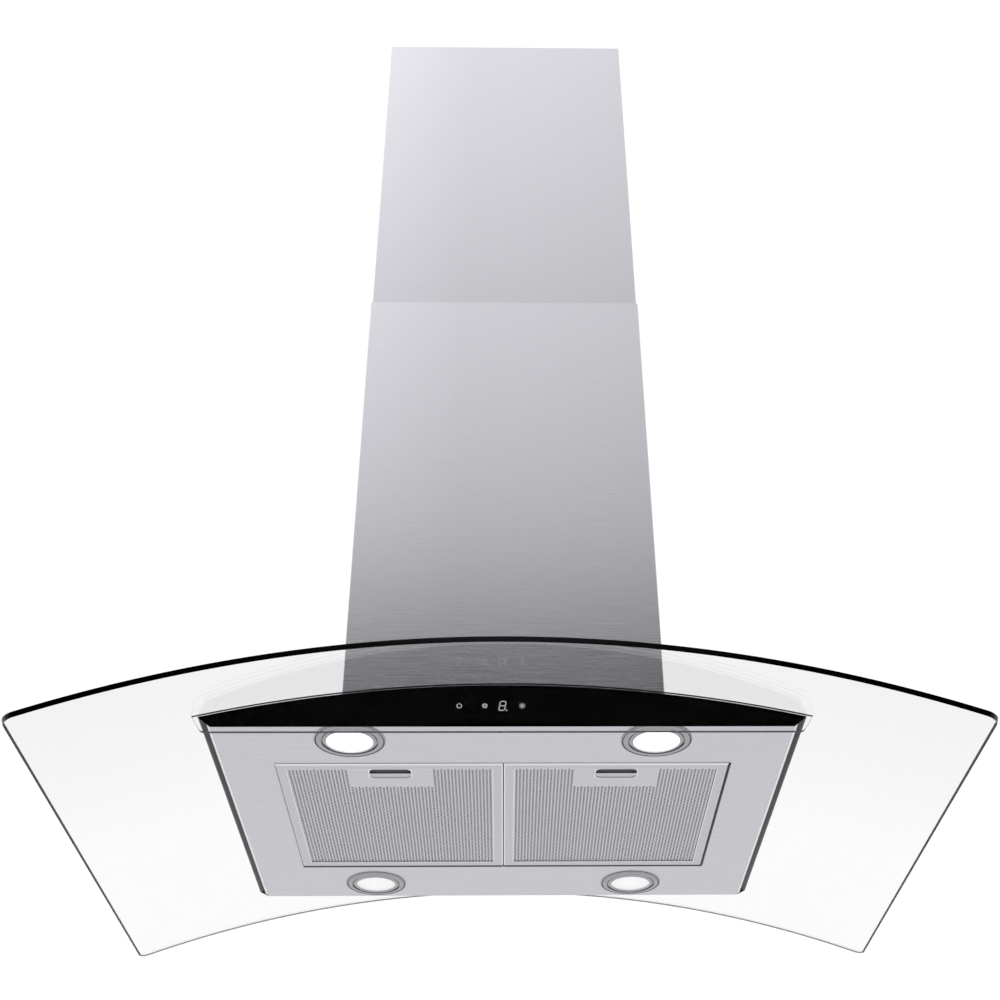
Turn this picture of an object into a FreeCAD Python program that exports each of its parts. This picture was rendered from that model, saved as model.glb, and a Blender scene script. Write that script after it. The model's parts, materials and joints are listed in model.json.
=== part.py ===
import FreeCAD, Part
import math
import os

import Sketcher

# Ceiling-hung range hood with an arched glass canopy, a two-stage chimney and a centrifugal blower.
# Millimetres. The origin is the centre of the ceiling plate's top face; +Z is up, -Y is the front.

# ---------------------------------------------------------------- driving dimensions
SIZES = {
    # glass canopy
    "glass_width": 900.0,
    "glass_depth": 628.0,
    "glass_rise": 82.0,            # height of the arch between its side edges and its crown
    "glass_thickness": 6.0,
    "glass_corner": 11.0,
    "glass_cutout_gap": 2.0,       # between the air collar and the cut-out in the glass
    "drop_to_glass": 1107.0,       # ceiling to the crown of the glass, chimney fully drawn out
    "seal_thickness": 1.0,
    "seal_width": 20.0,
    "seal_play": 0.2,
    "upper_seal_inset": 4.0,
    # chimney covers
    "lower_cover_width": 337.0,
    "lower_cover_depth": 280.0,
    "cover_sheet": 0.8,
    "cover_play": 0.95,            # between the upper covers and the lower covers
    "cover_seam": 0.4,
    "cover_above_glass": 0.5,
    "cover_bend": 2.0,             # outer radius of the covers' upright bends
    "upper_cover_show": 516.0,
    "cover_overlap": 60.0,
    "height_travel": 350.0,
    "cover_screw_inset": 60.0,
    "cover_screw_drop": 12.0,
    "cover_screw_radius": 2.0,
    "cover_screw_head": 3.75,
    "cover_screw_head_height": 1.8,
    "cover_screw_length": 4.0,
    "ceiling_gap": 0.5,            # between the upper covers and the ceiling
    # ceiling plate
    "ceiling_sheet": 3.0,
    "skirt_depth": 22.0,
    "skirt_sheet": 2.0,
    "skirt_bend": 2.0,             # inner radius of the bends of the skirt and the base frame's lip
    "skirt_gap": 0.45,
    "anchor_spacing_x": 260.0,
    "anchor_spacing_y": 200.0,
    "anchor_hole_radius": 4.25,
    "duct_hole_radius": 85.0,
    # telescopic posts
    "post_leg": 25.0,
    "post_sheet": 2.0,
    "post_play": 0.5,
    "bolt_room": 5.0,              # between the upper posts and the upper covers
    "upper_post_length": 557.0,
    "post_overlap": 60.0,
    "bolt_radius": 2.5,
    "bolt_head_radius": 4.75,
    "bolt_head_height": 2.4,
    "bolt_pitch": 30.0,
    "bolt_drop": 15.0,             # from the upper posts' foot up to the lower bolts
    "bolt_inset": 15.0,            # from a post's outer side to its bolts
    "bolt_reach": 5.0,             # of a bolt past the inner post
    "bolt_head_gap": 0.3,
    "slot_play": 0.25,
    # base frame on the glass
    "base_sheet": 3.0,
    "base_lip": 18.0,
    "base_opening_width": 246.0,
    "base_opening_depth": 206.0,
    # air collar through the glass
    "collar_width": 262.0,
    "collar_depth": 226.0,
    "collar_corner": 10.0,
    "collar_sheet": 1.5,
    "collar_flange": 9.0,
    "collar_below_shell": 4.0,
    "collar_play": 0.2,
    # hood body
    "pan_width": 564.0,
    "pan_bend": 1.0,
    "body_front": 231.3,           # from the chimney's centre to the body's front wall
    "body_rear": 217.0,
    "pan_sheet": 1.2,
    "shell_sheet": 1.2,
    "shell_side_height": 4.24,     # of the body's side walls, below the arch
    "shell_side_lean": 8.5,
    "shell_side_margin": 1.5,
    "pan_flange_front": 8.0,
    "pan_flange_rear": 14.0,
    "pan_flange_inset": 50.0,
    "pan_flange_play": 0.1,
    "pan_screw_spacing": 211.5,
    "pan_screw_radius": 1.5,
    "pan_screw_play": 0.2,
    "pan_screw_head": 3.4,
    "pan_screw_head_height": 1.8,
    "pan_screw_reach": 3.0,
    "opening_upstand": 9.0,
    "working_centre": 9.0,         # the lamps and filters sit this far in front of the chimney's centre
    # front panel
    "panel_thickness": 4.0,
    "panel_drop": 11.7,            # below the pan's lower face
    "panel_foot_overhang": 1.5,    # of the panel past the body's side walls
    "panel_top_overhang": 5.5,
    "panel_corner": 6.0,
    "panel_top_gap": 0.4,
    "print_thickness": 0.5,
    "print_gap": 0.2,              # between the print and the body's front wall
    "print_margin_bottom": 6.7,
    "print_margin_side": 5.5,
    "print_margin_top": 0.6,
    "display_shift": 12.0,
    "board_width": 130.0,
    "board_height": 20.0,
    "board_thickness": 1.6,
    "board_gap": 0.5,              # above the pan's front flange
    "board_play": 0.2,             # behind the body's front wall
    "key_spacing": 17.0,
    "key_radius": 4.0,
    "key_gap": 0.1,                # between a key or the display and the print's side of the wall
    "display_width": 12.0,
    "display_height": 14.0,
    "window_width": 100.0,
    "window_height": 15.0,
    # lamps
    "lamp_spacing_x": 300.0,
    "lamp_spacing_y": 370.0,
    "lamp_bezel_radius": 35.0,
    "lamp_bezel_height": 2.2,
    "bezel_lip": 0.6,              # of the bezel below the lens
    "bezel_ring": 3.0,
    "bezel_slope": 0.8,
    "bezel_groove": 2.0,
    "bezel_groove_depth": 1.1,
    "bezel_edge": 0.4,
    "lamp_can_radius": 29.5,
    "lamp_can_height": 20.0,
    "lamp_lens_radius": 23.5,
    "lamp_lens_thickness": 2.5,
    "lamp_lens_bevel": 0.5,
    "lamp_lens_play": 0.2,
    "lamp_hole_play": 0.3,
    # grease filters
    "opening_width": 460.0,
    "opening_depth": 268.0,
    "filter_gap": 0.6,
    "filter_height": 9.0,
    "filter_proud": 1.5,
    "filter_border": 10.5,
    "filter_lip": 1.2,
    "filter_rebate": 3.0,
    "filter_bevel": 1.1,
    "face_sheet": 0.8,
    "face_play": 0.3,              # round the face sheet and the core inside the frame
    "core_height": 5.8,
    "tab_spacing": 150.0,
    "tab_width": 16.0,
    "tab_reach": 8.0,
    "tab_sheet": 1.5,
    "tab_root": 2.0,
    "swing_gap": 0.3,
    # latch of a filter
    "finger_slot_width": 42.0,
    "finger_slot_depth": 22.0,
    "finger_slot_corner": 6.0,
    "finger_slot_edge": 1.2,       # of plain sheet between the frame and the slot
    "latch_travel": 7.0,
    "latch_width": 60.0,
    "tongue_width": 30.0,
    "tongue_reach": 6.0,
    "latch_sheet": 1.0,
    "latch_setback": 0.5,          # of the latch's front edge behind the frame
    "latch_tail": 3.0,             # of its base behind the cup
    "latch_play": 1.0,             # beside the tongue in the frame's slot
    "latch_head_play": 0.5,
    "notch_play": 3.0,
    "cup_width": 46.0,
    "cup_depth": 30.0,
    "cup_wall": 1.0,
    "cup_setback": 1.0,
    "cup_flat": 5.0,               # level part of the cup's roof, in front of its ramp
    "spring_closed": 3.0,          # depth of a leaf spring with its latch drawn
    "spring_sheet": 0.5,
    "spring_width": 44.0,
    "spring_height": 4.3,
    "spring_gap": 0.3,
    # blower
    "rotor_radius": 70.0,
    "rotor_width": 100.0,
    "blade_chord": 13.0,
    "blade_lean": 8.0,             # sideways shift of a blade's tip
    "blade_curve": 13.6,           # radius of its hollow side
    "blade_tip": 0.4,
    "blade_sheet": 1.0,
    "blade_count": 32.0,
    "rotor_disc": 2.4,
    "rotor_rim": 3.0,
    "rotor_rim_width": 6.5,
    "rotor_disc_inset": 1.0,
    "hub_radius": 11.0,
    "hub_length": 14.0,
    "shaft_radius": 4.0,
    "shaft_length": 74.0,
    "scroll_start_radius": 82.0,
    "scroll_step": 10.0,           # growth of the scroll's radius at each quarter turn
    "scroll_width": 116.0,
    "scroll_wall": 1.2,
    "scroll_tongue": 9.0,
    "scroll_shift": 11.0,
    "outlet_width": 86.0,
    "outlet_rise": 100.0,
    "scroll_clearance": 12.0,
    "inlet_radius": 60.0,
    "scroll_mouth": 66.0,
    "inlet_lip": 6.0,
    "inlet_flare": 3.0,
    "inlet_flange": 14.0,
    "box_width": 260.0,
    "box_depth": 216.0,
    "box_sheet": 1.0,
    "box_flange": 10.0,
    "motor_radius": 43.0,
    "motor_length": 58.0,
    "motor_bevel": 6.0,
    "motor_boss_radius": 14.0,
    "motor_boss_height": 2.0,
    "motor_gap": 4.0,              # between the drum's disc and the can
    "bracket_sheet": 2.5,
    "bracket_play": 0.1,
    "bracket_ring": 14.0,
    "bracket_arm_width": 12.0,
    "bracket_arm_end": 72.0,
    "bearing_play": 0.05,
    # duct outlet
    "spigot_radius": 75.0,
    "spigot_wall": 2.5,
    "spigot_height": 50.0,
    "outlet_plate": 3.0,
    "outlet_plate_margin": 1.5,
    "flap_play": 0.6,
    "flap_sheet": 1.2,
    "flap_pin_radius": 1.5,
    "knuckle_wall": 1.25,
    "knuckle_length": 20.0,
    "knuckle_gap": 2.0,
    "knuckle_root": 2.0,
    "flap_root_gap": 0.5,
    "flap_pin_setback": 0.5,
    "flap_level": 12.0,
    # terminal box
    "terminal_width": 24.0,
    "terminal_depth": 100.0,
    "terminal_height": 80.0,
    "terminal_level": 45.0,
    "terminal_corner": 4.0,
}

MARGIN = 10.0   # how far a cut runs past what it cuts

DOC = FreeCAD.newDocument("range_hood")
SHEET = DOC.addObject("Spreadsheet::Sheet", "dims")
for row, (alias, number) in enumerate(SIZES.items(), start=1):
    SHEET.set(f"A{row}", alias)
    SHEET.set(f"B{row}", str(number))
    SHEET.setAlias(f"B{row}", alias)
DOC.recompute()
DERIVED = DOC.addObject("App::VarSet", "derived")


class Size:
    """A number together with the formula that ties it to the sheet."""

    def __init__(self, number, formula):
        self.number = float(number)
        self.formula = formula

    def __add__(self, other):
        other = as_size(other)
        return Size(self.number + other.number, f"({self.formula} + {other.formula})")

    def __sub__(self, other):
        other = as_size(other)
        return Size(self.number - other.number, f"({self.formula} - {other.formula})")

    def __mul__(self, other):
        other = as_size(other)
        return Size(self.number * other.number, f"({self.formula} * {other.formula})")

    def __truediv__(self, other):
        other = as_size(other)
        return Size(self.number / other.number, f"({self.formula} / {other.formula})")

    def __radd__(self, other):
        return as_size(other) + self

    def __rsub__(self, other):
        return as_size(other) - self

    def __rmul__(self, other):
        return as_size(other) * self

    def __neg__(self):
        return Size(-self.number, f"(0 - {self.formula})")


def as_size(value):
    if isinstance(value, Size):
        return value
    return Size(value, f"({float(value)!r})")


def root(size):
    return Size(math.sqrt(size.number), f"sqrt({size.formula})")


def dim(alias):
    return Size(float(SHEET.get(alias)), f"dims.{alias}")


def derive(name, size):
    """Keep a worked-out size under a name of its own."""
    DERIVED.addProperty("App::PropertyFloat", name, "Worked out")
    DERIVED.setExpression(name, size.formula)
    return Size(size.number, f"derived.{name}")


# ---------------------------------------------------------------- worked-out sizes
HALF_GLASS = derive("half_glass", dim("glass_width") / 2)
CROWN = derive("crown", -dim("drop_to_glass"))
ARCH_RADIUS = derive(
    "arch_radius", HALF_GLASS * HALF_GLASS / (2 * dim("glass_rise")) + dim("glass_rise") / 2
)
ARCH_CENTRE = derive("arch_centre", CROWN - ARCH_RADIUS)
UNDER_RADIUS = derive("under_radius", ARCH_RADIUS - dim("glass_thickness"))
SHELL_RADIUS = derive("shell_radius", UNDER_RADIUS - dim("seal_thickness"))

HALF_PAN = derive("half_pan", dim("pan_width") / 2)
SHELL_FOOT = derive("shell_foot", HALF_PAN + dim("shell_side_margin"))
SHELL_SHOULDER = derive("shell_shoulder", SHELL_FOOT + dim("shell_side_lean"))
SHELL_REACH = SHELL_RADIUS * SHELL_RADIUS - SHELL_SHOULDER * SHELL_SHOULDER
SHELL_EDGE = derive("shell_edge", ARCH_CENTRE + root(SHELL_REACH))
PAN_TOP = derive("pan_top", SHELL_EDGE - dim("shell_side_height"))
PAN_FACE = derive("pan_face", PAN_TOP - dim("pan_sheet"))
BODY_FRONT = derive("body_front_wall", -dim("body_front"))
BODY_REAR = derive("body_rear_wall", dim("body_rear"))
WORK_Y = derive("work_y", -dim("working_centre"))

LOWER_X = derive("lower_half_width", dim("lower_cover_width") / 2)
LOWER_Y = derive("lower_half_depth", dim("lower_cover_depth") / 2)
UPPER_X = derive("upper_half_width", LOWER_X - dim("cover_sheet") - dim("cover_play"))
UPPER_Y = derive("upper_half_depth", LOWER_Y - dim("cover_sheet") - dim("cover_play"))
SKIRT_X = derive("skirt_half_width", UPPER_X - dim("cover_sheet") - dim("skirt_gap"))
SKIRT_Y = derive("skirt_half_depth", UPPER_Y - dim("cover_sheet") - dim("skirt_gap"))
UPPER_POST_X = derive("upper_post_x", UPPER_X - dim("cover_sheet") - dim("bolt_room"))
UPPER_POST_Y = derive("upper_post_y", UPPER_Y - dim("cover_sheet") - dim("bolt_room"))
LOWER_POST_X = derive("lower_post_x", UPPER_POST_X - dim("post_sheet") - dim("post_play"))
LOWER_POST_Y = derive("lower_post_y", UPPER_POST_Y - dim("post_sheet") - dim("post_play"))
UPPER_POST_FOOT = derive("upper_post_foot", -dim("ceiling_sheet") - dim("upper_post_length"))
LOWER_POST_HEAD = derive("lower_post_head", UPPER_POST_FOOT + dim("post_overlap"))
BOLT_Z = derive("bolt_z", UPPER_POST_FOOT + dim("bolt_drop"))
BOLT_X = derive("bolt_x", UPPER_POST_X - dim("bolt_inset"))

BASE_BOTTOM = derive("base_bottom", CROWN + dim("seal_thickness"))
BASE_TOP = derive("base_top", BASE_BOTTOM + dim("base_sheet"))
BASE_X = derive("base_half_width", LOWER_X - dim("cover_sheet") - dim("skirt_gap"))
BASE_Y = derive("base_half_depth", LOWER_Y - dim("cover_sheet") - dim("skirt_gap"))
COLLAR_X = derive("collar_half_width", dim("collar_width") / 2)
COLLAR_Y = derive("collar_half_depth", dim("collar_depth") / 2)

PANEL_BACK = derive("panel_back", BODY_FRONT - dim("print_gap") - dim("print_thickness"))
PANEL_FACE = derive("panel_face", PANEL_BACK - dim("panel_thickness"))
PANEL_BOTTOM = derive("panel_bottom", PAN_FACE - dim("panel_drop"))

FILTER_LOW = derive("filter_low", PAN_FACE - dim("filter_proud"))
FILTER_TOP = derive("filter_top", FILTER_LOW + dim("filter_height"))
FILTER_WIDTH = derive("filter_width", dim("opening_width") / 2 - dim("filter_gap"))
FILTER_X = derive("filter_x", dim("opening_width") / 4)
FILTER_FRONT = derive("filter_front", WORK_Y - dim("opening_depth") / 2 + dim("filter_gap"))
FILTER_REAR = derive("filter_rear", WORK_Y + dim("opening_depth") / 2 - dim("filter_gap"))
FACE_BOTTOM = derive("face_bottom", FILTER_LOW + dim("filter_lip"))
FACE_TOP = derive("face_top", FACE_BOTTOM + dim("face_sheet"))
REBATE = derive("rebate", dim("filter_border") - dim("filter_rebate"))
SLOT_EDGE = dim("filter_border") + dim("finger_slot_edge")
SLOT_FRONT = derive("slot_front", FILTER_FRONT + SLOT_EDGE)
LATCH_BOTTOM = derive("latch_bottom", FACE_TOP + dim("swing_gap"))
LATCH_FRONT = derive("latch_front", FILTER_FRONT + REBATE + dim("latch_setback"))
LATCH_LENGTH = dim("cup_setback") + dim("cup_depth") + 2 * dim("cup_wall") + dim("latch_tail")
LATCH_REAR = derive("latch_rear", LATCH_FRONT + LATCH_LENGTH)
SPRING_ROOM = derive("spring_room", dim("latch_travel") + dim("spring_closed"))
TONGUE_BOTTOM = derive("tongue_bottom", PAN_TOP + dim("swing_gap"))

BOX_BOTTOM = derive("box_bottom", BASE_TOP)
SCROLL_Z = derive(
    "scroll_z",
    BOX_BOTTOM + dim("scroll_clearance") + dim("scroll_start_radius") + 1.5 * dim("scroll_step"),
)
SCROLL_X = derive("scroll_x", -dim("scroll_shift"))
OUTLET_TOP = derive("outlet_top", SCROLL_Z + dim("outlet_rise"))
BOX_TOP = derive("box_top", OUTLET_TOP + dim("box_sheet"))
OUTLET_RIGHT = derive(
    "outlet_right", SCROLL_X + 2.5 * dim("scroll_step") + dim("scroll_start_radius")
)
OUTLET_LEFT = derive("outlet_left", OUTLET_RIGHT - dim("outlet_width"))
DUCT_X = derive("duct_x", (OUTLET_LEFT + OUTLET_RIGHT) / 2)
PLATE_TOP = derive("plate_top", BOX_TOP + dim("outlet_plate"))
FLAP_Z = derive("flap_z", PLATE_TOP + dim("flap_level"))
DOC.recompute()


def arch_height(radius, x):
    """Height of the arch of this radius at the distance x from the middle plane."""
    return ARCH_CENTRE + root(radius * radius - x * x)


# ---------------------------------------------------------------- drawing helpers
def new_body(label):
    body = DOC.addObject("PartDesign::Body", label)
    body.Label = label
    return body


def origin_plane(body, role):
    return next(feature for feature in body.Origin.OriginFeatures if feature.Role == role)


def new_sketch(body, role, offset):
    """Sketch on one of the body's own planes, shifted along that plane's normal."""
    sketch = body.newObject("Sketcher::SketchObject", f"{body.Name}_sketch")
    sketch.AttachmentSupport = (origin_plane(body, role), "")
    sketch.MapMode = "FlatFace"
    offset = as_size(offset)
    sketch.AttachmentOffset = FreeCAD.Placement(
        FreeCAD.Vector(0, 0, offset.number), FreeCAD.Rotation()
    )
    sketch.setExpression("AttachmentOffset.Base.z", offset.formula)
    return sketch


def bind_constraint(sketch, size, *reference):
    kind, *where = reference
    index = sketch.addConstraint(Sketcher.Constraint(kind, *where, size.number))
    sketch.setExpression(f"Constraints[{index}]", size.formula)


def add_arc(sketch, centre, radius, start, end):
    """Minor arc between two points. Returns its number and which of its ends is the start."""
    circle = Part.Circle(
        FreeCAD.Vector(centre[0].number, centre[1].number, 0), FreeCAD.Vector(0, 0, 1), radius.number
    )
    angles = [
        math.atan2(p[1].number - centre[1].number, p[0].number - centre[0].number)
        for p in (start, end)
    ]
    if (angles[1] - angles[0]) % (2 * math.pi) < math.pi:
        return sketch.addGeometry(Part.ArcOfCircle(circle, angles[0], angles[1])), 1
    return sketch.addGeometry(Part.ArcOfCircle(circle, angles[1], angles[0])), 2


def draw_outline(sketch, points, arcs):
    """Closed outline. arcs gives (centre, radius) for the edges that are round."""
    points = [(as_size(x), as_size(y)) for x, y in points]
    edges = []
    for index, start in enumerate(points):
        end = points[(index + 1) % len(points)]
        if index in arcs:
            centre, radius = arcs[index]
            centre = (as_size(centre[0]), as_size(centre[1]))
            edges.append(add_arc(sketch, centre, as_size(radius), start, end))
        else:
            line = Part.LineSegment(
                FreeCAD.Vector(start[0].number, start[1].number, 0),
                FreeCAD.Vector(end[0].number, end[1].number, 0),
            )
            edges.append((sketch.addGeometry(line), 1))
    for index, (edge, first_end) in enumerate(edges):
        next_edge, next_end = edges[(index + 1) % len(edges)]
        sketch.addConstraint(Sketcher.Constraint("Coincident", edge, 3 - first_end, next_edge, next_end))
        bind_constraint(sketch, points[index][0], "DistanceX", edge, first_end)
        bind_constraint(sketch, points[index][1], "DistanceY", edge, first_end)
        if index in arcs:
            bind_constraint(sketch, as_size(arcs[index][1]), "Radius", edge)


def draw_circle(sketch, x, y, radius):
    x, y, radius = as_size(x), as_size(y), as_size(radius)
    circle = Part.Circle(FreeCAD.Vector(x.number, y.number, 0), FreeCAD.Vector(0, 0, 1), radius.number)
    index = sketch.addGeometry(circle)
    bind_constraint(sketch, x, "DistanceX", index, 3)
    bind_constraint(sketch, y, "DistanceY", index, 3)
    bind_constraint(sketch, radius, "Radius", index)


def outline(points, arcs=None):
    return lambda sketch: draw_outline(sketch, points, arcs or {})


def circle(x, y, radius):
    return lambda sketch: draw_circle(sketch, x, y, radius)


def rectangle(x_low, x_high, y_low, y_high, corner=None):
    if corner is None:
        return outline([(x_low, y_low), (x_high, y_low), (x_high, y_high), (x_low, y_high)])
    points = [
        (x_low + corner, y_low),
        (x_high - corner, y_low),
        (x_high, y_low + corner),
        (x_high, y_high - corner),
        (x_high - corner, y_high),
        (x_low + corner, y_high),
        (x_low, y_high - corner),
        (x_low, y_low + corner),
    ]
    arcs = {
        1: ((x_high - corner, y_low + corner), corner),
        3: ((x_high - corner, y_high - corner), corner),
        5: ((x_low + corner, y_high - corner), corner),
        7: ((x_low + corner, y_low + corner), corner),
    }
    return outline(points, arcs)


def frame_outline(half_x, half_y, centre_y=0):
    return rectangle(-half_x, half_x, centre_y - half_y, centre_y + half_y)


def bent_outline(half_x, half_y, inset=0):
    """Frame outline with the skirt's bends, drawn in by inset."""
    bend = dim("skirt_bend") + dim("skirt_sheet") - inset
    return rectangle(inset - half_x, half_x - inset, inset - half_y, half_y - inset, bend)


def pad(body, role, low, high, *loops):
    """Material between two levels along the plane's axis."""
    low, high = as_size(low), as_size(high)
    sketch = new_sketch(body, role, -high if role == "XZ_Plane" else low)
    for loop in loops:
        loop(sketch)
    feature = body.newObject("PartDesign::Pad", f"{body.Name}_pad")
    feature.Profile = sketch
    feature.Length = (high - low).number
    feature.setExpression("Length", (high - low).formula)
    return feature


def pocket(body, role, low, high, *loops):
    """Cut between two levels along the plane's axis, and make sure that it cuts."""
    low, high = as_size(low), as_size(high)
    DOC.recompute()
    before = body.Shape.Volume
    sketch = new_sketch(body, role, -high if role == "XZ_Plane" else low)
    for loop in loops:
        loop(sketch)
    feature = body.newObject("PartDesign::Pocket", f"{body.Name}_pocket")
    feature.Profile = sketch
    feature.Reversed = True
    feature.Length = (high - low).number
    feature.setExpression("Length", (high - low).formula)
    DOC.recompute()
    if body.Shape.Volume >= before:
        raise RuntimeError(f"a pocket of {body.Label} cuts nothing")
    return feature


def revolve(body, points, arcs=None):
    """Turned solid about the body's Z axis from a profile of (radius, height) points."""
    sketch = new_sketch(body, "XZ_Plane", 0)
    draw_outline(sketch, points, arcs or {})
    feature = body.newObject("PartDesign::Revolution", f"{body.Name}_turned")
    feature.Profile = sketch
    feature.ReferenceAxis = (sketch, ["V_Axis"])
    feature.Angle = 360
    return feature


def dress(body, kind, size, chosen):
    """Fillet or chamfer the edges for which chosen(edge) is true."""
    DOC.recompute()
    base = body.Tip
    names = [f"Edge{i}" for i, edge in enumerate(base.Shape.Edges, start=1) if chosen(edge)]
    if not names:
        raise RuntimeError(f"{body.Label} has no such edge")
    feature = body.newObject(f"PartDesign::{kind}", f"{body.Name}_{kind.lower()}")
    feature.Base = (base, names)
    prop = "Radius" if kind == "Fillet" else "Size"
    setattr(feature, prop, size.number)
    feature.setExpression(prop, size.formula)
    return feature


def place(item, x=0, y=0, z=0, rotation=None):
    """Set where an object stands, with each coordinate tied to its formula."""
    x, y, z = as_size(x), as_size(y), as_size(z)
    item.Placement = FreeCAD.Placement(
        FreeCAD.Vector(x.number, y.number, z.number), rotation or FreeCAD.Rotation()
    )
    for letter, size in (("x", x), ("y", y), ("z", z)):
        item.setExpression(f"Placement.Base.{letter}", size.formula)


def near(value, size):
    return abs(value - as_size(size).number) < 0.01


def along_z(edge):
    """True for a straight edge whose ends differ in height only."""
    ends = [vertex.Point for vertex in edge.Vertexes]
    return len(ends) == 2 and near(ends[0].x, ends[1].x) and near(ends[0].y, ends[1].y)


def fastener(name, head_radius, head_height, shank_radius, shank_length, hexagonal=False):
    """Screw along +Z with a round or hexagonal head, whose underside is at its own origin."""
    head = DOC.addObject("Part::Prism" if hexagonal else "Part::Cylinder", f"{name}_head")
    head.setExpression("Circumradius" if hexagonal else "Radius", as_size(head_radius).formula)
    head.setExpression("Height", as_size(head_height).formula)
    shank = DOC.addObject("Part::Cylinder", f"{name}_shank")
    shank.setExpression("Radius", as_size(shank_radius).formula)
    shank.setExpression("Height", (as_size(shank_length) + as_size(head_height) / 2).formula)
    place(shank, 0, 0, -as_size(shank_length))
    screw = DOC.addObject("Part::MultiFuse", name)
    screw.Shapes = [head, shank]
    return screw


def group(label, items):
    compound = DOC.addObject("Part::Compound", label)
    compound.Label = label
    compound.Links = items
    return compound


OUT_FRONT = FreeCAD.Rotation(FreeCAD.Vector(1, 0, 0), 90)     # local +Z towards -Y
OUT_REAR = FreeCAD.Rotation(FreeCAD.Vector(1, 0, 0), -90)     # local +Z towards +Y
OUT_RIGHT = FreeCAD.Rotation(FreeCAD.Vector(0, 1, 0), 90)     # local +Z towards +X
OUT_LEFT = FreeCAD.Rotation(FreeCAD.Vector(0, 1, 0), -90)     # local +Z towards -X
CORNERS = (
    ("front_left", -1, -1),
    ("front_right", 1, -1),
    ("rear_left", -1, 1),
    ("rear_right", 1, 1),
)


# ---------------------------------------------------------------- ceiling section
def ceiling_plate():
    body = new_body("ceiling_plate")
    holes = [
        circle(sx * dim("anchor_spacing_x") / 2, sy * dim("anchor_spacing_y") / 2, dim("anchor_hole_radius"))
        for _, sx, sy in CORNERS
    ]
    pad(
        body, "XY_Plane", -dim("ceiling_sheet"), 0,
        bent_outline(SKIRT_X, SKIRT_Y), circle(DUCT_X, 0, dim("duct_hole_radius")), *holes,
    )
    pad(
        body, "XY_Plane", -dim("skirt_depth"), -dim("ceiling_sheet"),
        bent_outline(SKIRT_X, SKIRT_Y), bent_outline(SKIRT_X, SKIRT_Y, dim("skirt_sheet")),
    )
    return body


def angle_post(label, sx, sy, half_x, half_y, low, high):
    """Angle-section post whose outer corner lies at (half_x, half_y)."""
    body = new_body(label)
    leg, sheet = dim("post_leg"), dim("post_sheet")
    section = [
        (sx * half_x, sy * half_y),
        (sx * (half_x - leg), sy * half_y),
        (sx * (half_x - leg), sy * (half_y - sheet)),
        (sx * (half_x - sheet), sy * (half_y - sheet)),
        (sx * (half_x - sheet), sy * (half_y - leg)),
        (sx * half_x, sy * (half_y - leg)),
    ]
    pad(body, "XY_Plane", low, high, outline(section))
    return body


def across_post(sy, half_y):
    """Levels along Y that pass through a post's wide leg, from low to high."""
    inner = half_y - dim("post_leg") / 2
    outer = half_y + dim("post_leg") / 2
    return (inner, outer) if sy > 0 else (-outer, -inner)


def upper_post(corner, sx, sy):
    body = angle_post(
        f"upper_post_{corner}", sx, sy, UPPER_POST_X, UPPER_POST_Y, UPPER_POST_FOOT, -dim("ceiling_sheet")
    )
    half_slot = dim("bolt_radius") + dim("slot_play")
    low = BOLT_Z - half_slot
    high = BOLT_Z + dim("bolt_pitch") + dim("height_travel") + half_slot
    slot = rectangle(sx * BOLT_X - half_slot, sx * BOLT_X + half_slot, low, high)
    pocket(body, "XZ_Plane", *across_post(sy, UPPER_POST_Y), slot)
    return body


def lower_post(corner, sx, sy):
    body = angle_post(
        f"lower_post_{corner}", sx, sy, LOWER_POST_X, LOWER_POST_Y, BASE_TOP, LOWER_POST_HEAD
    )
    holes = [circle(sx * BOLT_X, BOLT_Z + n * dim("bolt_pitch"), dim("bolt_radius")) for n in range(2)]
    pocket(body, "XZ_Plane", *across_post(sy, LOWER_POST_Y), *holes)
    return body


def post_bolts():
    bolts = []
    reach = dim("post_sheet") * 2 + dim("post_play") + dim("bolt_reach")
    for corner, sx, sy in CORNERS:
        for n in range(2):
            bolt = fastener(
                f"post_bolt_{corner}_{n}", dim("bolt_head_radius"), dim("bolt_head_height"),
                dim("bolt_radius"), reach, hexagonal=True,
            )
            seat = sy * (UPPER_POST_Y + dim("bolt_head_gap"))
            outwards = OUT_REAR if sy > 0 else OUT_FRONT
            place(bolt, sx * BOLT_X, seat, BOLT_Z + n * dim("bolt_pitch"), outwards)
            bolts.append(bolt)
    return group("post_bolts", bolts)


def cover_half(label, sy, half_x, half_y, low, high):
    """U-shaped half of a chimney cover with bent corners, open towards the seam on the sides."""
    body = new_body(label)
    seam, sheet, bend = dim("cover_seam") / 2, dim("cover_sheet"), dim("cover_bend")
    inner = bend - sheet
    turn_x, turn_y = half_x - bend, sy * (half_y - bend)
    section = [
        (-half_x, sy * seam),
        (-half_x, turn_y),
        (-turn_x, sy * half_y),
        (turn_x, sy * half_y),
        (half_x, turn_y),
        (half_x, sy * seam),
        (half_x - sheet, sy * seam),
        (half_x - sheet, turn_y),
        (turn_x, sy * (half_y - sheet)),
        (-turn_x, sy * (half_y - sheet)),
        (sheet - half_x, turn_y),
        (sheet - half_x, sy * seam),
    ]
    left, right = (-turn_x, turn_y), (turn_x, turn_y)
    bends = {1: (left, bend), 3: (right, bend), 7: (right, inner), 9: (left, inner)}
    pad(body, "XY_Plane", low, high, outline(section, bends))
    return body


def drill_cover(body, sy, half_x, z):
    """Holes for the cover's screws through both sides."""
    y = sy * dim("cover_screw_inset")
    pocket(body, "YZ_Plane", -half_x - MARGIN, half_x + MARGIN, circle(y, z, dim("cover_screw_radius")))


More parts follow.
